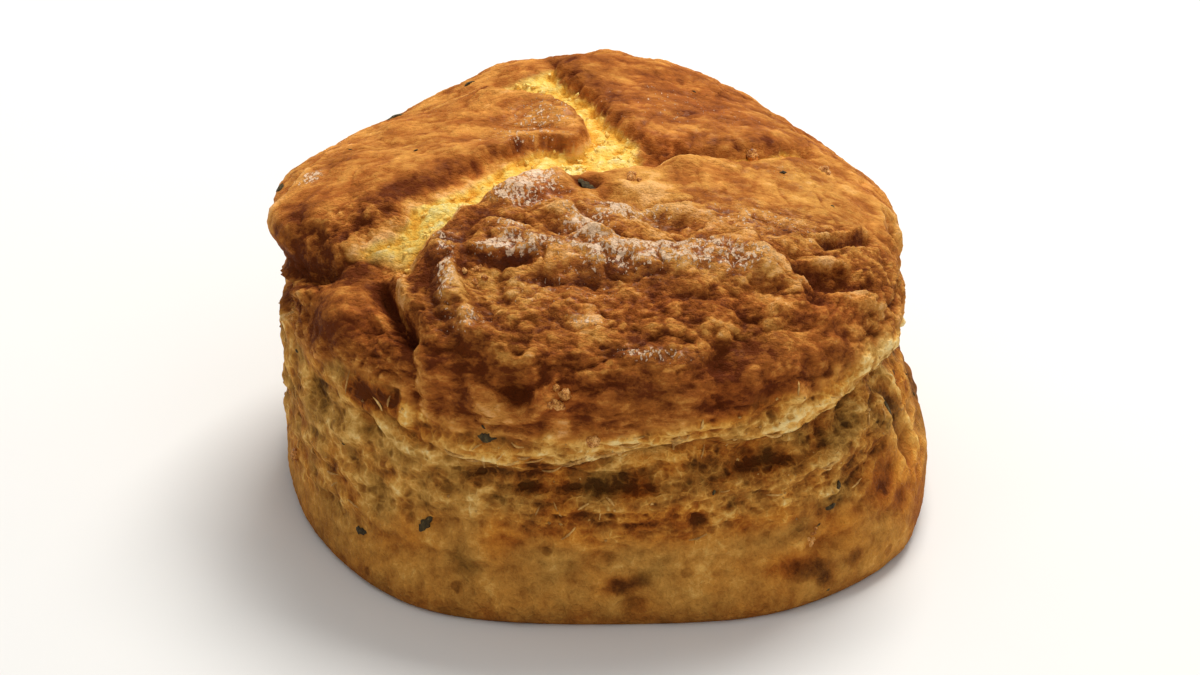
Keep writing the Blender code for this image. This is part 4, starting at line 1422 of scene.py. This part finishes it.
def loose_crumb_material(name, tones, bright):
    """Dry crumb and torn strands: the same grain as the scone's, paler or more golden."""
    material, graph, shader = new_material(name)
    grain_of = graph.group(dough_grain(), {"Place": graph.millimetres()})
    tone = graph.plus(graph.blend(0.5, 0.5, grain_of["Middle"]), grain_of["Broad"], 0.35)
    rough = graph.between(grain_of["Fine"], 0.2, 0.8, 0.65, 0.9)
    graph.feed(shader, {"Base Color": graph.ramp(graph.sum(tone, bright), tones), "Roughness": rough})
    bumped(graph, shader, grain_of["Height"], 0.18)
    return material


def crackling_material():
    """Crisp blistered rind: red-gold, with a fatty shine on its high places."""
    material, graph, shader = new_material("crackling")
    grain_of = graph.group(dough_grain(), {"Place": graph.millimetres(), "Size": (0.6, 0.6, 0.6)})
    browned_and_shaded = {
        "Bake": 0.40,
        "Mottle": grain_of["Broad"],
        "Grain": grain_of["Middle"],
        "Height": grain_of["Fine"],
        "Ruddy": graph.blend(0.5, grain_of["Broad"], 0.2),
    }
    colour = graph.group(browning_and_shading(), browned_and_shaded)["Colour"]
    rough = graph.between(grain_of["Middle"], 0.3, 0.7, 0.3, 0.55)
    graph.feed(shader, {"Base Color": colour, "Roughness": rough})
    graph.feed(shader, {"Specular IOR Level": 0.2, "Coat Weight": 0.15})
    bumped(graph, shader, grain_of["Height"], 0.25)
    return material


def herb_material():
    """Dried leaf baked nearly black, with olive left in its veins."""
    material, graph, shader = new_material("herb")
    grain_of = graph.group(dough_grain(), {"Place": graph.millimetres(), "Size": (0.4, 0.4, 1.1)})
    colour = graph.ramp(graph.plus(grain_of["Middle"], grain_of["Broad"], 0.6), HERB_TONES)
    rough = graph.between(grain_of["Fine"], 0.2, 0.8, 0.6, 0.85)
    graph.feed(shader, {"Base Color": colour, "Roughness": rough, "Specular IOR Level": 0.2})
    bumped(graph, shader, grain_of["Height"], 0.12)
    return material


def floor_material(pale):
    """A matt pale sweep of paper, with a barely seen tooth."""
    material, graph, shader = new_material("pale floor")
    cloud = graph.cloud(graph.millimetres(), 60.0, 3.0)
    shade = [part * FLOOR_SHADE for part in pale]
    colour = graph.mix(cloud, (*pale, 1.0), (*shade, 1.0))
    graph.feed(shader, {"Base Color": colour, "Roughness": graph.between(cloud, 0.3, 0.7, 0.8, 0.9)})
    return material


class Heap:
    """Many small closed shapes gathered into one mesh."""

    def __init__(self):
        self.points = []
        self.faces = []
        self.count = 0

    def add(self, points, faces):
        self.points.append(points)
        self.faces += [tuple(corner + self.count for corner in face) for face in faces]
        self.count += len(points)

    def mesh(self, name):
        mesh = bpy.data.meshes.new(name)
        mesh.from_pydata(np.vstack(self.points) * MM, [], self.faces)
        return mesh


def ribbon(line, out, widths, thicks, sides=8):
    """A closed band along a line, oval in section: its width along the surface, its thickness out of it."""
    along = np.gradient(line, axis=0)
    along /= np.linalg.norm(along, axis=1)[:, None]
    aside = np.cross(out, along)
    aside /= np.linalg.norm(aside, axis=1)[:, None]
    up = np.cross(along, aside)
    turns = np.arange(sides) * 2 * math.pi / sides
    wide = aside[:, None] * (np.cos(turns)[:, None] * widths[:, None, None] / 2)
    tall = up[:, None] * (np.sin(turns)[:, None] * thicks[:, None, None] / 2)
    points = np.vstack([(line[:, None] + wide + tall).reshape(-1, 3), line[:1], line[-1:]])
    last = len(line) - 1
    faces = []
    for ring in range(last):
        for side in range(sides):
            beside = (side + 1) % sides
            low, high = ring * sides, (ring + 1) * sides
            faces.append((low + side, low + beside, high + beside, high + side))
    first_tip, last_tip = len(points) - 2, len(points) - 1
    for side in range(sides):
        beside = (side + 1) % sides
        faces.append((first_tip, beside, side))
        faces.append((last_tip, last * sides + side, last * sides + beside))
    return points, faces


def outward(normals):
    out = normals.mean(axis=0)
    return out / np.linalg.norm(out)


def straightened(line, share):
    """A line drawn nearer, by a share, to the straight one between its ends."""
    chord = line[0] + (line[-1] - line[0]) * np.linspace(0, 1, len(line))[:, None]
    return line * (1 - share) + chord * share


def strip_on(skin, draw, where, place, heading, size, lift):
    """A torn strip laid on the surface: size is its length, width and thickness; its ends are sunk in."""
    length, width, thick = size
    per_mm = (1.0, 1.0) if where == "top" else (DEGREES_PER_MM, 1.0)
    bend = draw.uniform(-0.5, 0.5)
    steps = np.linspace(-0.5, 0.5, 5)
    angles = heading + bend * steps
    way = np.column_stack([np.cos(angles), np.sin(angles)]) * (steps * length)[:, None] * per_mm
    line, normals = traced(skin, where, way + place, 3)
    out = outward(normals)
    count = len(line)
    swell = np.sin(np.linspace(0, math.pi, count))
    line = straightened(line, 0.5) + out * (swell * (lift + thick) - thick * 0.6)[:, None]
    ragged = np.array([draw.uniform(0.65, 1.25) for _ in range(count)])
    return ribbon(line, out, width * ragged * (0.25 + 0.75 * swell), thick * (0.35 + 0.65 * swell))


def lump(seed, detail, knobbly):
    """A knobbly pebble one unit across."""
    work = bmesh.new()
    bmesh.ops.create_icosphere(work, subdivisions=detail, radius=0.5)
    points = np.array([vertex.co for vertex in work.verts])
    faces = [tuple(vertex.index for vertex in face.verts) for face in work.faces]
    work.free()
    shape = grain(points, 0.5, seed, 4, 0.4)
    return points * (1 + knobbly * shape)[:, None], faces


def set_down(shape, place, out, draw, size, sunk):
    """A shape turned at random, scaled to its size and sunk a share of it into the surface."""
    points, faces = shape
    axis = Vector([draw.gauss(0, 1) for _ in range(3)]).normalized()
    turned = points @ np.array(Matrix.Rotation(draw.uniform(0, 2 * math.pi), 3, axis))
    return turned * size + place + out * (size * (0.5 - sunk)), faces


def added(name, mesh, material):
    """Makes an object of a mesh, or renews it where it is already there."""
    old = bpy.data.objects.get(name)
    if old:
        bpy.data.objects.remove(old)
    mesh.materials.append(material)
    mesh.shade_smooth()
    piece = bpy.data.objects.new(name, mesh)
    bpy.context.scene.collection.objects.link(piece)
    return piece


def settled(piece):
    """Lets a piece ride on the scone's body."""
    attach(piece, BODY)


class Surface:
    """The baked scone's own surface in millimetres, with its masks, for laying pieces on it."""

    def __init__(self):
        mesh = bpy.data.objects["baked_scone"].data
        self.points = read(mesh, "co") / MM
        self.normals = read(mesh, "normal")
        self.mesh = mesh
        self.skin = skin_of(mesh, 1 / MM)

    def mask(self, name):
        values = np.empty(len(self.points), np.float32)
        self.mesh.attributes[name].data.foreach_get("value", values)
        return values.astype(float)

    def pick(self, draw, weight, count):
        """Places chosen by weight, with their outward directions."""
        chosen = draw.choices(range(len(weight)), weights=weight.tolist(), k=count)
        return [(self.points[index], self.normals[index]) for index in chosen]


def off_the_base(surface, share):
    """A share for each place of the surface, and none on the base."""
    return share * (surface.points[:, 2] > 1.5)


def sprinkled(heap, surface, draw, share, count, small, big):
    """Crumbs of sizes between small and big, in millimetres, laid where their share is high."""
    shapes = [lump(seed, 2, 0.9) for seed in CRUMB_SEEDS]
    for place, out in surface.pick(draw, off_the_base(surface, share), count):
        heap.add(*set_down(draw.choice(shapes), place, out, draw, draw.uniform(small, big), 0.45))


def crumb_heap(surface, look, draw):
    """Crumbs broken from the open cracks."""
    heap = Heap()
    big = look.crumb_size / MM
    sprinkled(heap, surface, draw, surface.mask("crumb") ** 2, look.crumbs, 0.3 * big, big)
    return heap


def web_on(skin, draw, web):
    """A web of dough drawn out by the tearing layers: wide where it leaves one, narrow at the other."""
    start, end = np.array(web.start), np.array(web.end)
    steps = np.linspace(0, 1, 6)[:, None]
    way = start + (end - start) * steps
    way[:, 0] += np.sin(steps[:, 0] * math.pi) * draw.uniform(-0.8, 0.8)
    line, normals = traced(skin, "wall", way, 3)
    out = outward(normals)
    count = len(line)
    along = np.linspace(0, 1, count)
    line = straightened(line, 0.6) - out * 0.15
    widths = (web.wide, 0.5 * web.wide, web.narrow, 1.3 * web.narrow)
    slender = np.interp(along, (0, 0.35, 0.75, 1), widths)
    ragged = np.array([draw.uniform(0.85, 1.15) for _ in range(count)])
    return ribbon(line, out, slender * ragged, slender * 0.5)


def strand_heap(surface, look, draw):
    """Strands drawn out as the layers tore apart: webs in the hollow, and a net over the torn wall."""
    heap = Heap()
    for web in WEBS:
        heap.add(*web_on(surface.skin, draw, web))
    line = smooth_curve(LIP_EDGE, 8)
    for _ in range(LIP_STRIPS):
        azimuth, height = line[draw.randrange(len(line))]
        place = (azimuth + draw.uniform(-1.5, 1.5), height + draw.uniform(*LIP_REACH))
        heading = draw.gauss(0.1, 0.35)
        size = (draw.uniform(1.2, 3.2), draw.uniform(0.25, 0.6), draw.uniform(0.2, 0.35))
        heap.add(*strip_on(surface.skin, draw, "wall", place, heading, size, draw.uniform(0.0, 0.35)))
    big = look.crumb_size / MM
    ridges = surface.mask("torn") * surface.mask("fine_height") ** 3
    sprinkled(heap, surface, draw, ridges, look.crumbs, 0.2 * big, 0.5 * big)
    net = surface.mask("torn") * surface.mask("fine_height") ** 2
    for place, _ in surface.pick(draw, off_the_base(surface, net), look.strands):
        azimuth = math.degrees(math.atan2(place[1], place[0]))
        heading = draw.choice((draw.gauss(0.2, 0.4), draw.gauss(1.4, 0.4)))
        size = (draw.uniform(1.2, 3.6), draw.uniform(0.16, 0.34), draw.uniform(0.18, 0.3))
        heap.add(*strip_on(surface.skin, draw, "wall", (azimuth, place[2]), heading, size, 0.1))
    return heap


def herb_heap(surface, look, draw):
    """Dark slivers of dried leaf, laid on the surface where they show and scattered over the rest."""
    heap = Heap()
    for herb in HERBS:
        turn, size = math.radians(herb.heading), (herb.length, herb.width, HERB_THICK)
        heap.add(*strip_on(surface.skin, draw, herb.where, herb.place, turn, size, 0.0))
    wall = (1 - surface.mask("crust")) + 0.25 * surface.mask("crust")
    for place, _ in surface.pick(draw, off_the_base(surface, wall), look.herbs):
        azimuth = math.degrees(math.atan2(place[1], place[0]))
        where, pair = ("top", tuple(place[:2])) if place[2] > 33 else ("wall", (azimuth, place[2]))
        length = draw.uniform(0.5, 1.5) * look.herb_length / MM
        size = (length, length * draw.uniform(0.25, 0.45), SMALL_HERB_THICK)
        heap.add(*strip_on(surface.skin, draw, where, pair, draw.uniform(0, math.pi), size, -0.05))
    return heap


def crackling_heap(surface, look, draw):
    """Blistered bits of rind standing out of the crust and the wall."""
    heap = Heap()
    shapes = [lump(seed, 3, 0.4) for seed in CRACKLING_SEEDS]
    for bit in CRACKLINGS:
        per_mm = 1.0 if bit.where == "top" else DEGREES_PER_MM
        first, second = bit.place
        for _ in range(CRACKLING_BLISTERS):
            beside = (
                first + draw.gauss(0, 0.35) * bit.size * per_mm,
                second + draw.gauss(0, 0.35) * bit.size,
            )
            place, out = place_on(surface.skin, bit.where, beside)
            shape, size = draw.choice(shapes), bit.size * draw.uniform(0.3, 0.6)
            heap.add(*set_down(shape, place, out, draw, size, 0.6))
    crusted = off_the_base(surface, 1 - surface.mask("crumb"))
    for place, out in surface.pick(draw, crusted, look.cracklings):
        size = draw.uniform(0.6, 1.3) * look.crackling_size / MM
        heap.add(*set_down(draw.choice(shapes), place, out, draw, size, 0.66))
    return heap


def lay_bits(context, name, heap_of, material, shift=0):
    """Gathers the small pieces of one kind over the baked scone; a shift gives them their own draws."""
    bits = context.scene.scone_bits
    heap = heap_of(Surface(), bits, random.Random(bits.seed + shift))
    settled(added(name, heap.mesh(name), material))


def lay_floor(studio):
    mesh = bpy.data.meshes.new("floor")
    work = bmesh.new()
    bmesh.ops.create_circle(work, cap_ends=True, segments=96, radius=FLOOR_RADIUS)
    work.to_mesh(mesh)
    work.free()
    added("floor", mesh, floor_material(tuple(studio.floor)))


def look_back(item, way):
    """Turns a lamp or a camera to look against a direction."""
    item.rotation_euler = way.to_track_quat("Z", "Y").to_euler()
    bpy.context.scene.collection.objects.link(item)


def hang_lamps(studio):
    for lamp in LAMPS:
        light = bpy.data.lights.new(lamp.name, "AREA")
        light.energy = getattr(studio, lamp.name)
        light.size = lamp.size
        light.color = lamp.colour
        hung = bpy.data.objects.new(lamp.name, light)
        way = Vector((1, 0, 0))
        way.rotate(Euler((0, -math.radians(lamp.elevation), math.radians(lamp.azimuth))))
        hung.location = LAMPS_AIM + way * lamp.distance
        look_back(hung, way)


def light_sky(studio):
    world = bpy.data.worlds.new("soft sky")
    world.use_nodes = True
    background = world.node_tree.nodes["Background"]
    background.inputs["Color"].default_value = SKY_COLOUR
    background.inputs["Strength"].default_value = studio.sky
    bpy.context.scene.world = world
    bpy.context.scene.view_settings.view_transform = "Standard"


def set_camera(studio):
    camera = bpy.data.cameras.new("camera")
    camera.lens = studio.lens
    camera.clip_start = 0.01
    seat = bpy.data.objects.new("camera", camera)
    way = Vector((0, -math.cos(studio.elevation), math.sin(studio.elevation)))
    seat.location = Vector((0, 0, studio.aim)) + way * studio.distance
    look_back(seat, way)
    bpy.context.scene.camera = seat


def colour_of(name, description, value):
    return FloatVectorProperty(
        name=name, description=description, default=value, subtype="COLOR", size=3, min=0.0, max=1.0
    )


class SconeLook(bpy.types.PropertyGroup):
    """How far the scone is baked and glazed, and how finely its surface is made."""

    bake: FloatProperty(
        name="Bake",
        description="From pale to nearly burnt",
        default=EVEN_BAKE,
        min=0.0,
        max=1.0,
        subtype="FACTOR",
    )
    warmth: FloatProperty(
        name="Warmth",
        description="From golden to ruddy",
        default=0.45,
        min=0.0,
        max=1.0,
        subtype="FACTOR",
    )
    # The glaze's gloss over the crust, and the painted glint flecks that gather with it
    glaze: FloatProperty(
        name="Glaze",
        description="How much dried glaze lies all over the crust",
        default=0.04,
        min=0.0,
        max=1.0,
        subtype="FACTOR",
    )
    # The colour of the painted glint flecks on the glaze
    glint_colour: colour_of("Glint colour", "Colour of the dried flecks", (1.0, 0.72, 0.48))
    cuts: IntProperty(
        name="Mesh fineness",
        description="Squares along each side of the six patches that make the surface",
        default=256,
        min=16,
        max=512,
    )
    faces: IntProperty(
        name="Most triangles",
        description="The finished surface is lightened to this many triangles",
        default=194000,
        min=10000,
        max=199000,
    )


class LooseBits(bpy.types.PropertyGroup):
    """Numbers and sizes of what lies on the scone or stands out of it."""

    crumbs: IntProperty(
        name="Crumbs", description="Crumbs in the cracks, and as many on the torn wall", default=130, min=0
    )
    crumb_size: FloatProperty(
        name="Crumb size", description="Size of the largest crumb", default=0.00065, unit="LENGTH"
    )
    strands: IntProperty(
        name="Strands", description="Strands netted over the torn wall", default=70, min=0
    )
    herbs: IntProperty(name="Herb flecks", description="Flecks of leaf over the surface", default=26, min=0)
    herb_length: FloatProperty(
        name="Herb length", description="Usual length of a fleck", default=0.0008, unit="LENGTH"
    )
    cracklings: IntProperty(
        name="Small crackling", description="Small bits of rind over the surface", default=10, min=0
    )
    crackling_size: FloatProperty(
        name="Crackling size", description="Usual size of a small bit", default=0.0013, unit="LENGTH"
    )
    seed: IntProperty(name="Seed", description="Start of the random draws", default=7)


class Studio(bpy.types.PropertyGroup):
    """The camera, the floor and the lights."""

    distance: FloatProperty(
        name="Camera distance", description="From the lens to its aim", default=0.5, unit="LENGTH"
    )
    elevation: FloatProperty(
        name="Camera elevation",
        description="Height of the view over level",
        default=math.radians(28),
        subtype="ANGLE",
    )
    aim: FloatProperty(name="Aim", description="Height that it looks at", default=0.0172, unit="LENGTH")
    lens: FloatProperty(name="Lens", description="Focal length", default=125.5, subtype="DISTANCE_CAMERA")
    key: FloatProperty(name="Key", description="Power of the lamp over the back", default=4.9, unit="POWER")
    fill: FloatProperty(
        name="Fill", description="Power of the lamp at the front", default=0.75, unit="POWER"
    )
    sky: FloatProperty(name="Sky", description="Strength of the light from all round", default=0.5)
    floor: colour_of("Floor", "Colour of the floor", (0.80, 0.80, 0.79))


class SCONE_OT_bake(bpy.types.Operator):
    """Makes the burst and browned scone over its solid"""

    bl_idname = "scone.bake"
    bl_label = "Bake the Scone"

    def execute(self, context):
        look = context.scene.scone_look
        cuts, triangles = ((look.cuts, look.faces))
        piece = added("baked_scone", scone_mesh(look, cuts, triangles), scone_material(look))
        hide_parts(NODE)
        settled(piece)
        return {"FINISHED"}


class SCONE_OT_crumbs(bpy.types.Operator):
    """Lays broken crumbs in the cracks"""

    bl_idname = "scone.crumbs"
    bl_label = "Scatter the Crumbs"

    def execute(self, context):
        crumb = loose_crumb_material("loose crumb", CRUMB_TONES, 0.1)
        lay_bits(context, "loose_crumbs", crumb_heap, crumb)
        return {"FINISHED"}


class SCONE_OT_strands(bpy.types.Operator):
    """Draws torn strands and webs across the layers of the wall, with crumbs on its ridges"""

    bl_idname = "scone.strands"
    bl_label = "Tear the Strands"

    def execute(self, context):
        strand = loose_crumb_material("torn strand", TAN_WALL, 0.04)
        lay_bits(context, "torn_strands", strand_heap, strand, 1)
        return {"FINISHED"}


class SCONE_OT_herbs(bpy.types.Operator):
    """Presses dark flecks of leaf into the surface"""

    bl_idname = "scone.herbs"
    bl_label = "Press in the Herbs"

    def execute(self, context):
        lay_bits(context, "herb_flecks", herb_heap, herb_material(), 2)
        return {"FINISHED"}


class SCONE_OT_crackling(bpy.types.Operator):
    """Studs the crust and the wall with bits of crackling"""

    bl_idname = "scone.crackling"
    bl_label = "Stud with Crackling"

    def execute(self, context):
        lay_bits(context, "crackling_bits", crackling_heap, crackling_material(), 3)
        return {"FINISHED"}


class SCONE_OT_stage(bpy.types.Operator):
    """Sets out the floor, the lights and the camera"""

    bl_idname = "scone.stage"
    bl_label = "Set the Stage"

    def execute(self, context):
        studio = context.scene.scone_studio
        lay_floor(studio)
        hang_lamps(studio)
        light_sky(studio)
        set_camera(studio)
        return {"FINISHED"}


class SCONE_PT_sidebar(bpy.types.Panel):
    """Lists the steps of the scone with their sizes and colours"""

    bl_idname = "SCONE_PT_sidebar"
    bl_label = "Pork Crackling Scone"
    bl_space_type = "VIEW_3D"
    bl_region_type = "UI"
    bl_category = "Scone"

    def draw(self, context):
        for group in (context.scene.scone_look, context.scene.scone_bits, context.scene.scone_studio):
            box = self.layout.box()
            for name in group.__annotations__:
                box.prop(group, name)
        for step in STEPS:
            self.layout.operator(step.bl_idname)


GROUPS = (SconeLook, LooseBits, Studio)
STEPS = (
    SCONE_OT_stage,
    SCONE_OT_bake,
    SCONE_OT_crumbs,
    SCONE_OT_strands,
    SCONE_OT_herbs,
    SCONE_OT_crackling,
)
CLASSES = (*GROUPS, *STEPS, SCONE_PT_sidebar)


def register():
    for made in CLASSES:
        bpy.utils.register_class(made)
    bpy.types.Scene.scone_look = PointerProperty(type=SconeLook)
    bpy.types.Scene.scone_bits = PointerProperty(type=LooseBits)
    bpy.types.Scene.scone_studio = PointerProperty(type=Studio)


def unregister():
    del bpy.types.Scene.scone_studio
    del bpy.types.Scene.scone_bits
    del bpy.types.Scene.scone_look
    for made in reversed(CLASSES):
        bpy.utils.unregister_class(made)


def main():
    register()
    bpy.ops.scone.stage()
    bpy.ops.scone.bake()
    bpy.ops.scone.crumbs()
    bpy.ops.scone.strands()
    bpy.ops.scone.herbs()
    bpy.ops.scone.crackling()


if __name__ == "__main__":
    main()
